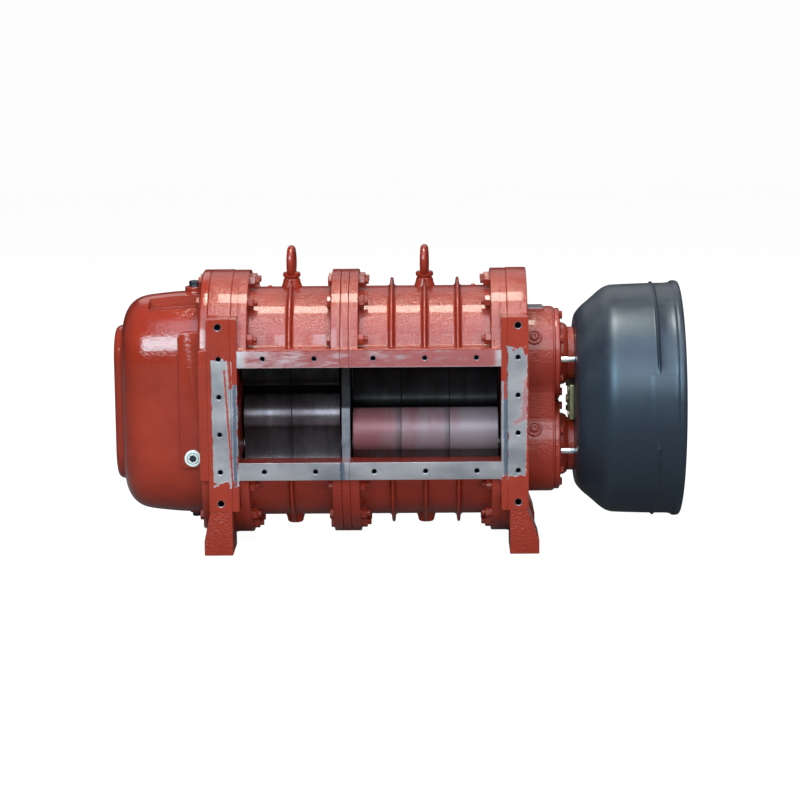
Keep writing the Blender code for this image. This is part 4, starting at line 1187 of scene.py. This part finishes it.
# %% [markdown]
# The bearing housing has the same two circles with a waist between them. Each end wears a round cover with a
# domed cap, held by six bolts. Two round knobs with a recess stand on the housing's front, level with the shafts.

# %% Bearing housing and covers
HOUSING_R = 0.114
HOUSING_WAIST = 0.090
COVER_X = low["upper_bearing_cover"][0]
COVER_R = 0.109
COVER_T = 0.0135
CAP_PROFILE = ((0.0000, 0.0765), (0.0010, 0.0750), (0.0080, 0.0742), (0.0140, 0.0715), (0.0180, 0.0680),
               (0.0185, 0.0640), (0.0340, 0.0640), (0.0350, 0.0630))
COVER_BOLT_R = 0.093                   # of the circle they stand on
COVER_BOLT_FLATS = 0.017
PAD_TOP = high["bearing_housing"][2] - MID_Z


def make_bearing_housing():
    """The waisted outline along x, joined to a pad and a slope on top, less the shafts' holes."""
    x0, x1 = low["bearing_housing"][0], high["bearing_housing"][0]
    end_r, end_waist = HOUSING_R - 0.002, HOUSING_WAIST - 0.002
    path = soften([(x0, HOUSING_R, HOUSING_WAIST), (x1 - 0.004, HOUSING_R, HOUSING_WAIST),
                   (x1 - 0.0035, end_r, end_waist), (x1, end_r, end_waist)], 0.001, 3)
    housing = as_object("bearing_housing_casting", loft(along_x(path, waisted)))
    foot, top = MID_Z + 0.17, MID_Z + PAD_TOP
    pad = block((x0, x0 + 0.042), (-0.040, 0.040), (foot, top))
    slope = prism([(x0 + 0.036, foot), (x1 + 0.002, foot), (x1 + 0.001, top - 0.013), (x0 + 0.056, top - 0.004),
                   (x0 + 0.036, top - 0.005)], (-0.035, 0.035), 1)
    combine(housing, "UNION", bevelled(pad, 0.0015), bevelled(slope, 0.003))
    bore_for_shafts(housing, x0 - CUT_PAST, 0.1)
    dress(housing, ENAMEL, "red_enamel", ["bearing_housing"])
    part_faces(housing, MACHINED_IRON, lambda centres, normals: (normals[:, 2] > 0.95)
               & (centres[:, 2] > MID_Z + PAD_TOP - 0.0006))


def make_knobs():
    """Round plugs on the housing's front, turned up by 28 degrees: a disc, a recess in it and a head inside."""
    turn = math.radians(28.0)
    axis = np.array((0.0, -math.cos(turn), math.sin(turn)))
    profile = soften(((-0.008, 0.0186), (0.0050, 0.0186), (0.0070, 0.0168), (0.0070, 0.0135), (0.0030, 0.0125),
                      (0.0030, 0.0095), (0.0100, 0.0088), (0.0115, 0.0070), (0.0115, 0.0042), (0.0070, 0.0036),
                      (0.0070, 0.0)), 0.0008, 2)
    for which, z in shaft_z.items():
        name = f"{which}_grease_nipple"
        x = (low[name][0] + high[name][0]) / 2
        base = np.array((x, 0.0, z)) + (HOUSING_R - 0.001) * axis
        add_piece(f"{which}_housing_knob", turned(profile, base, axis, 40), ENAMEL, "red_enamel", [name])


def make_covers():
    """Disc and cap are one profile turned round the shaft, with bolts every 60 degrees from 30."""
    for which, z in shaft_z.items():
        plate = ((0.0, SHAFT_R + 0.001), (0.0, COVER_R - 0.0015), (0.0015, COVER_R),
                 (COVER_T - 0.0025, COVER_R), (COVER_T, COVER_R - 0.0025))
        cap = [(COVER_T + along, radius) for along, radius in CAP_PROFILE]
        end = ((COVER_T + 0.035, SHAFT_R + 0.001),)
        profile = soften(np.array((*plate, *cap, *end)), 0.0016, 3)
        if which == "upper":
            profile = np.concatenate([profile, [(COVER_T + 0.006, SHAFT_R + 0.001), (COVER_T + 0.006, 0.0)]])
        cover = turned(profile, (COVER_X, 0, z), (1, 0, 0), 96, closed=which == "lower")
        bolts = []
        for angle in np.radians(np.arange(30.0, 390.0, 60.0)):
            y, rise = COVER_BOLT_R * math.cos(angle), COVER_BOLT_R * math.sin(angle)
            centre = (COVER_X + COVER_T - 0.0005, y, z + rise)
            bolts.append(turned(((0, 0.0098), (0.0016, 0.0098), (0.0016, 0.0)), centre, (1, 0, 0), 24))
            bolts.append(hexagon(centre, (1, 0, 0), COVER_BOLT_FLATS, 0.0085, spin=angle))
        add_piece(f"{which}_cover_and_cap", cover, ENAMEL, "red_enamel", [f"{which}_bearing_cover"])
        add_piece(f"{which}_cover_bolts", together(*bolts), FITTING_ENAMEL, "red_enamel")


make_bearing_housing()
make_knobs()
make_covers()

# %% [markdown]
# The guard is spun sheet: a profile turned round the machine's middle line, with a stiffening bead and a rolled
# rim. Its last stretch is lapped, and over the lap the bead is missing, so the radius is a function of two
# parameters, the place along the profile and the angle. The inner wall is the same path moved in by the sheet.

# %% Shaft guard
GUARD_X = low["shaft_guard"][0]
GUARD_WALL = 0.005
GUARD_PATH = (                         # (distance from the back, radius)
    (0.0000, 0.1700), (0.0000, 0.1940), (0.0030, 0.2055), (0.0135, 0.2184), (0.0225, 0.2271), (0.0325, 0.2351),
    (0.0515, 0.2517), (0.0605, 0.2598), (0.0705, 0.2668), (0.0805, 0.2712), (0.0895, 0.2731), (0.1150, 0.2742),
    (0.1700, 0.2760), (0.2200, 0.2766), (0.2290, 0.2782), (0.2335, 0.2826), (0.2435, 0.2822), (0.2480, 0.2800),
    (0.2490, 0.2775))
BEAD_AT, BEAD_HALF, BEAD_H = 0.1855, 0.0055, 0.0044
BEAD_GAP = np.radians((-14.0, 24.0))   # above level, seen from the front
LAP = np.radians((-15.7, 20.5))
LAP_STEP = 0.0014
STEP_WIDTH = np.radians(0.1)
NECK_HOLE_R = 0.0683
BRACKET_BOLT_Y = 0.045
BRACKET_BOLT_RISE = 0.030


def guard_surface(steps=180):
    """Radius = path + bead outside the lap + sheet thickness inside the lap, by distance and angle."""
    path = soften(GUARD_PATH, 0.008, 3)
    extra = np.linspace(BEAD_AT - BEAD_HALF, BEAD_AT + BEAD_HALF, 9)
    along = np.union1d(np.round(path[:, 0], 5), extra)
    order = np.argsort(path[:, 0], kind="stable")
    bare = np.interp(along, path[order, 0], path[order, 1])
    rim = path[path[:, 0] < 1e-6]
    edges = np.concatenate([LAP - STEP_WIDTH, LAP + STEP_WIDTH])
    angle = np.sort(np.concatenate([np.linspace(0.0, 2 * np.pi, steps, endpoint=False), np.pi - edges]))
    up = np.pi - angle
    gap = (up > BEAD_GAP[0]) & (up < BEAD_GAP[1])
    lapped = (up > LAP[0]) & (up < LAP[1])
    bead = BEAD_H * np.cos(np.clip((along - BEAD_AT) / BEAD_HALF, -1, 1) * np.pi / 2) ** 2
    in_lap = (along > 0.172) & (along < 0.2285)
    radius = bare[:, None] + bead[:, None] * ~gap + LAP_STEP * lapped * in_lap[:, None]
    inner = np.clip(radius - GUARD_WALL, 0.0, None)[::-1]
    inside = np.clip(along + GUARD_WALL, None, along[-1])[::-1]
    around = len(angle)
    radii = np.concatenate([np.full((1, around), 0.008), np.full((1, around), rim[0, 1]), radius, inner,
                            np.full((1, around), 0.008)])
    distance = np.concatenate([[0.0, 0.0], along, inside, [GUARD_WALL]])
    rings = np.stack([GUARD_X + np.broadcast_to(distance[:, None], radii.shape),
                      radii * np.cos(angle), MID_Z + radii * np.sin(angle)], -1)
    return loft(rings, closed=True)


def make_guard():
    """The bell less both neck holes, and a bar across its back with five bolts."""
    guard = as_object("bell_guard_sheet", guard_surface())
    bore_for_shafts(guard, GUARD_X - CUT_PAST, 0.03, NECK_HOLE_R, 64, 0.02, careful=True)
    dress(guard, GUARD_PAINT, "black_guard", ["shaft_guard"])
    bar = bevelled(block(*zip(low["guard_bracket"], high["guard_bracket"])), 0.002)
    face_x = low["guard_bracket"][0]
    bolts = [hexagon((face_x, side * BRACKET_BOLT_Y, MID_Z + rise), (-1, 0, 0), 0.013, 0.004)
             for side in (-1, 1) for rise in (-BRACKET_BOLT_RISE, BRACKET_BOLT_RISE)]
    bracket = together(bar, hexagon((face_x, 0, MID_Z), (-1, 0, 0), 0.019, 0.006), *bolts)
    add_piece("guard_bracket_bar", bracket, YELLOW_ZINC, "yellow_zinc", ["guard_bracket"])


def make_pins():
    """Stand-off pins: plain rods with chamfered ends."""
    for which, z in shaft_z.items():
        for end in ("front", "rear"):
            name = f"{which}_{end}_pin"
            length = high[name][0] - low[name][0]
            radius = (high[name][2] - low[name][2]) / 2
            base = (low[name][0], (low[name][1] + high[name][1]) / 2, z)
            rod = soften(((0.0, 0.0), (0.0, radius - 0.001), (0.001, radius), (length - 0.001, radius),
                          (length, radius - 0.001), (length, 0.0)), 0.0003, 2)
            add_piece(f"{name}_rod", turned(rod, base, (1, 0, 0), 32), ZINC, "zinc_steel", [name])


make_guard()
make_pins()

# %% [markdown]
# A lifting eye is a ring of round wire on a collar. The ring is a tube along a circle, its section growing a
# little towards the collar, and it stands a few degrees off square, as a bolt does when it comes tight.

# %% Lifting eyes
EYE_RING_R = 0.0295
EYE_WIRE_R = 0.0090
EYE_SPIN = math.radians(3.0)


def eye_ring(x, centre_z, around=48, section=20):
    """Point = centre + (R + r cos b) * outward + r sin b * across, with r growing towards the bottom."""
    a = np.linspace(0.0, 2 * np.pi, around, endpoint=False)[:, None]
    b = np.linspace(0.0, 2 * np.pi, section, endpoint=False)[None, :]
    wire = EYE_WIRE_R * (1.0 + 0.10 * (1 - np.sin(a)) / 2)
    out = EYE_RING_R + wire * np.cos(b)
    sideways = wire * np.sin(b)
    depth = out * np.cos(a)
    rise = out * np.sin(a)
    across = x + sideways * math.cos(EYE_SPIN) + depth * math.sin(EYE_SPIN)
    ahead = depth * math.cos(EYE_SPIN) - sideways * math.sin(EYE_SPIN)
    return loft(np.stack([across, ahead, centre_z + rise], -1), True)


def make_eye(name, x):
    """A ring that touches the solid eye's top, on a collar turned from its foot."""
    ring = eye_ring(x, high[name][2] - EYE_RING_R - EYE_WIRE_R)
    collar = soften(((0.0, 0.0), (0.0, 0.0180), (0.0020, 0.0185), (0.0030, 0.0210), (0.0100, 0.0210),
                     (0.0130, 0.0190), (0.0140, 0.0125), (0.0160, 0.0)), 0.003, 4)
    eye = together(ring, turned(collar, (x, 0, low[name][2]), (0, 0, 1), 40))
    add_piece(f"{name}_forged", eye, FITTING_ENAMEL, "red_enamel", [name])


make_eye("left_lifting_eye", SHORT_MID)
make_eye("right_lifting_eye", LONG_MID)

# %% [markdown]
# The rotors are the working parts. A lobe's head and hollow are curves traced by a point on a small circle that
# rolls outside and then inside the pitch circle. Two rotors of this shape stay in contact at equal speeds, here
# less a small running gap. Each section's outline is carried along the shaft with a small chamfer at each end,
# which draws the fine seams that the photograph shows between sections.

# %% Rotors and shafts
LOBES = 3
LOBE_SHRINK = 0.0028
LEAN = {"short": math.radians(62.0), "long": math.radians(32.0)}
SECTION_CHAMFER = 0.0009


def lobe_outline(steps=18):
    """With p the pitch radius, a the rolling circle's and s the roll, the head runs through
    (p + a) e^(i s a / p) - a e^(i s (a / p + 1)), and the hollow through the same with -a for a and -s for s."""
    pitch = HALF_GAP
    a = pitch / (2 * LOBES)
    roll = np.linspace(0.0, np.pi, steps + 1)
    around = roll * a / pitch
    head = (pitch + a) * np.exp(1j * around) - a * np.exp(1j * (around + roll))
    hollow = (pitch - a) * np.exp(1j * around) + a * np.exp(1j * (around - roll))
    flank = np.pi / (2 * LOBES)
    radius = np.concatenate([np.abs(head)[::-1], np.abs(hollow)[1:]])
    angle = np.concatenate([flank - np.angle(head)[::-1], flank + np.angle(hollow)[1:]])
    radius = np.concatenate([radius[:-1], radius[:0:-1]])
    angle = np.concatenate([angle[:-1], 2 * angle[-1] - angle[:0:-1]])
    turn = np.concatenate([angle + 2 * np.pi * lobe / LOBES for lobe in range(LOBES)])
    points = np.tile(radius, LOBES) * np.exp(1j * turn)
    tangent = np.roll(points, -1) - np.roll(points, 1)
    inward = 1j * tangent / np.abs(tangent)
    return points + LOBE_SHRINK * inward, inward


def make_rotors():
    """The lobes' outline, as complex numbers turned by the lean, carried along x: y is -real, z imaginary."""
    outline, inward = lobe_outline()
    bore = (SHAFT_R + SEAT_GAP) * np.exp(1j * np.angle(outline))
    for chamber, lean in LEAN.items():
        for which, turn in (("lower", lean), ("upper", np.pi / LOBES - lean)):
            spin = np.exp(1j * turn)
            names = sorted(name for name in frame["nodes"] if name.startswith(f"{which}_{chamber}_rotor"))
            for name in names:
                x0, x1 = low[name][0], high[name][0]
                cut = SECTION_CHAMFER
                stack = [(x0, bore), (x0, outline + cut * inward), (x0 + cut, outline), (x1 - cut, outline),
                         (x1, outline + cut * inward), (x1, bore)]
                rings = [np.column_stack([np.full(len(ring), x), -(ring * spin).real,
                                          shaft_z[which] + (ring * spin).imag]) for x, ring in stack]
                add_piece(f"{name}_lobed", loft(rings, closed=True), ROTOR_FINISH[f"{which}_{chamber}"],
                          "rotor_iron", [name], f"{which}_rotor")


def make_shafts():
    """A rod with 2 mm chamfers and a centre hole in its right end."""
    for which, z in shaft_z.items():
        name = f"{which}_shaft"
        length = high[name][0] - low[name][0]
        profile = [(0.0, 0.0), (0.0, SHAFT_R - 0.002), (0.002, SHAFT_R), (length - 0.002, SHAFT_R),
                   (length, SHAFT_R - 0.002), (length, 0.006), (length - 0.008, 0.004), (length - 0.008, 0.0)]
        shaft = turned(profile, (low[name][0], 0, z), (1, 0, 0), 72)
        add_piece(f"{name}_turned", shaft, MACHINED_IRON, "machined_iron", [name], f"{which}_rotor")


make_rotors()
make_shafts()

# %% [markdown]
# Flange bolts come round each shaft at three angles and their mirror images. The same ring of positions serves
# every joint: nuts with a bolt's end showing on one side, plain heads on the other. All bolts of a joint make
# one mesh, painted over like the rest.

# %% Flange bolts
BOLT_CIRCLE_R = 0.185
BOLT_ANGLES = np.radians((20.0, 50.5, 80.5))
BOLT_FLATS = 0.024
HEAD_H = 0.0100
NUT_H = 0.0140
BOLT_R = 0.0080
WASHER_R = 0.0146
BOLT_END = 0.0230                      # from the flange to the end of the thread
BOLT_SPINS = (0.20, 0.35)              # turn of each head: a first one, and a step more for each of four


def bolt_places():
    """(y, z, angle) of each bolt: the angles on both sides of the upper shaft, mirrored below the lower one."""
    turn = np.concatenate([BOLT_ANGLES, np.pi - BOLT_ANGLES])
    y = BOLT_CIRCLE_R * np.cos(turn)
    z = HALF_GAP + BOLT_CIRCLE_R * np.sin(turn)
    return [(a, MID_Z + side * b, side * t) for side in (1, -1) for a, b, t in zip(y, z, turn)]


def bolt_row(name, x, out, with_nut, keep=lambda y, z: True):
    """All bolts of one joint as one mesh, each head or nut on its washer. `keep` picks the places."""
    parts = []
    for i, (y, z, turn) in enumerate(bolt_places()):
        if not keep(y, z):
            continue
        spin = turn + BOLT_SPINS[1] * (i % 4) + BOLT_SPINS[0]
        base, axis = (x, y, z), (out, 0, 0)
        parts.append(hexagon(base, axis, BOLT_FLATS, NUT_H if with_nut else HEAD_H, spin=spin))
        if with_nut:
            parts.append(thread(base, axis, BOLT_R, NUT_H - 0.001, BOLT_END - 0.0008))
        parts.append(turned(((0, WASHER_R), (0.0014, WASHER_R), (0.0014, 0.0)), base, axis, 24))
    add_piece(name, together(*parts), FITTING_ENAMEL, "red_enamel")


bolt_row("left_flange_nuts", LEFT_PLATE_X[1] + LEFT_WALL_T + END_FLANGE_T, 1, True)
bolt_row("middle_flange_heads", SHORT_X[1] - MID_FLANGE_T, -1, False)
bolt_row("middle_flange_nuts", LONG_X[0] + MID_FLANGE_T, 1, True)
bolt_row("right_flange_nuts", RIGHT_PLATE_X[0] - RIGHT_WALL_T - END_FLANGE_T, -1, True)
bolt_row("gear_case_flange_heads", GEAR_FACE_X, -1, False,
         lambda y, z: abs(abs(z - MID_Z) - HALF_GAP) > 0.1 or y > 0.0)

# %% [markdown]
# The setting is a plain white sheet that curves up behind the machine. Paper that is lit until it looks white
# would also light the machine from below, so this sheet is grey to the light and glows for the camera alone.

# %% White sheet
STAGE_HALF_WIDTH = 16.0
STAGE_FRONT = -14.0
STAGE_BACK = 9.0
COVE_R = 4.0
STAGE_TOP = 10.0
STAGE_GLOW = 0.95                      # lifts the sheet to white for the camera only


def make_stage():
    """A sheet: flat floor, a quarter circle of COVE_R behind it, and a wall."""
    turn = np.linspace(0.0, np.pi / 2, 24)
    y = np.concatenate([[STAGE_FRONT], STAGE_BACK + COVE_R * np.sin(turn), [STAGE_BACK + COVE_R]])
    z = np.concatenate([[0.0], COVE_R * (1 - np.cos(turn)), [STAGE_TOP]])
    points = [(side * STAGE_HALF_WIDTH, a, b) for a, b in zip(y, z) for side in (-1, 1)]
    faces = [(2 * i, 2 * i + 1, 2 * i + 3, 2 * i + 2) for i in range(len(y) - 1)]
    mesh = bpy.data.meshes.new("white_sheet")
    mesh.from_pydata(points, [], faces)
    mesh.shade_smooth()
    material, tree, shader, place = new_material("white_paper")
    mottle = remap(tree, noise(tree, place, 3.0, 3.0), 0.3, 0.7)
    tint = blend(tree, mottle, (0.14, 0.14, 0.14, 1.0), (0.125, 0.125, 0.128, 1.0))
    seen = node(tree, "ShaderNodeLightPath").outputs["Is Camera Ray"]
    feed(tree, shader, {"Base Color": tint, "Roughness": 0.9, "Emission Color": (1.0, 1.0, 1.0, 1.0),
                        "Emission Strength": product(tree, seen, STAGE_GLOW)})
    mesh.materials.append(material)
    new_object("white_sheet", mesh)


make_stage()
print(f"sheet with a cove of {COVE_R} m")

# %% [markdown]
# The photograph's reflections tell where its lights were: a bright band along the top of each barrel can only
# come from a long panel overhead, and the bluish patch on the gear case from a window in front, on the left.
# Softer panels and a dim sky fill in the rest, and two panels light the machine without being mirrored in it.

# %% Lights and sky
def add_panel(name, azimuth, elevation, distance, width, height, colour, radiance):
    """An area light that sends `radiance` towards the machine's middle. Its power is radiance * area * pi."""
    turn, rise = math.radians(azimuth), math.radians(elevation)
    back = np.array((math.sin(turn) * math.cos(rise), -math.cos(turn) * math.cos(rise), math.sin(rise)))
    up = np.cross(back, (1.0, 0.0, 0.0))
    up /= np.linalg.norm(up)
    data = bpy.data.lights.new(name, "AREA")
    data.shape = "RECTANGLE"
    data.size = width
    data.size_y = height
    data.energy = radiance * width * height * math.pi
    data.color = colour
    lamp = new_object(name, data)
    stand(lamp, np.cross(up, back), up, back, distance * back + (0.0, 0.0, MID_Z))
    lamp.visible_glossy = not name.endswith("fill")


def make_sky():
    """A dim sky: darkest at the horizon, lighter and bluer higher up."""
    world = bpy.data.worlds.new("studio")
    bpy.context.scene.world = world
    world.use_nodes = True
    tree = world.node_tree
    height = split_vector(tree, node(tree, "ShaderNodeTexCoord").outputs["Generated"])["Z"]
    colour = blend(tree, remap(tree, height, 0.05, 0.75), (0.08, 0.075, 0.075, 1.0), (0.14, 0.13, 0.17, 1.0))
    feed(tree, tree.nodes["Background"], {"Color": colour, "Strength": 1.0})


PANELS = (                             # name, azimuth, elevation, distance, width, height, colour, radiance
    ("ceiling_strip", -33.0, 87.5, 3.0, 1.20, 0.74, (1.0, 0.91, 0.77), 26.0),
    ("left_window", -24.0, 30.0, 5.2, 2.4, 2.1, (0.66, 0.90, 1.0), 13.5),
    ("front_glow", 12.0, 31.0, 5.2, 2.6, 2.2, (0.90, 0.96, 1.0), 4.6),
    ("front_soft", 8.0, 60.0, 4.6, 4.6, 2.3, (0.78, 0.82, 1.0), 2.7),
    ("rear_soft", 0.0, 140.0, 5.0, 5.0, 2.4, (1.0, 0.95, 0.93), 0.9),
    ("low_fill", 5.0, 3.0, 5.0, 5.5, 1.6, (1.0, 0.96, 0.92), 8.0),
    ("rear_fill", 180.0, 25.0, 5.0, 5.0, 2.5, (1.0, 0.98, 0.96), 3.0),
)
for panel in PANELS:
    add_panel(*panel)
make_sky()
bpy.context.scene.view_settings.view_transform = "Standard"
print(f"{len(PANELS)} panels and a sky")
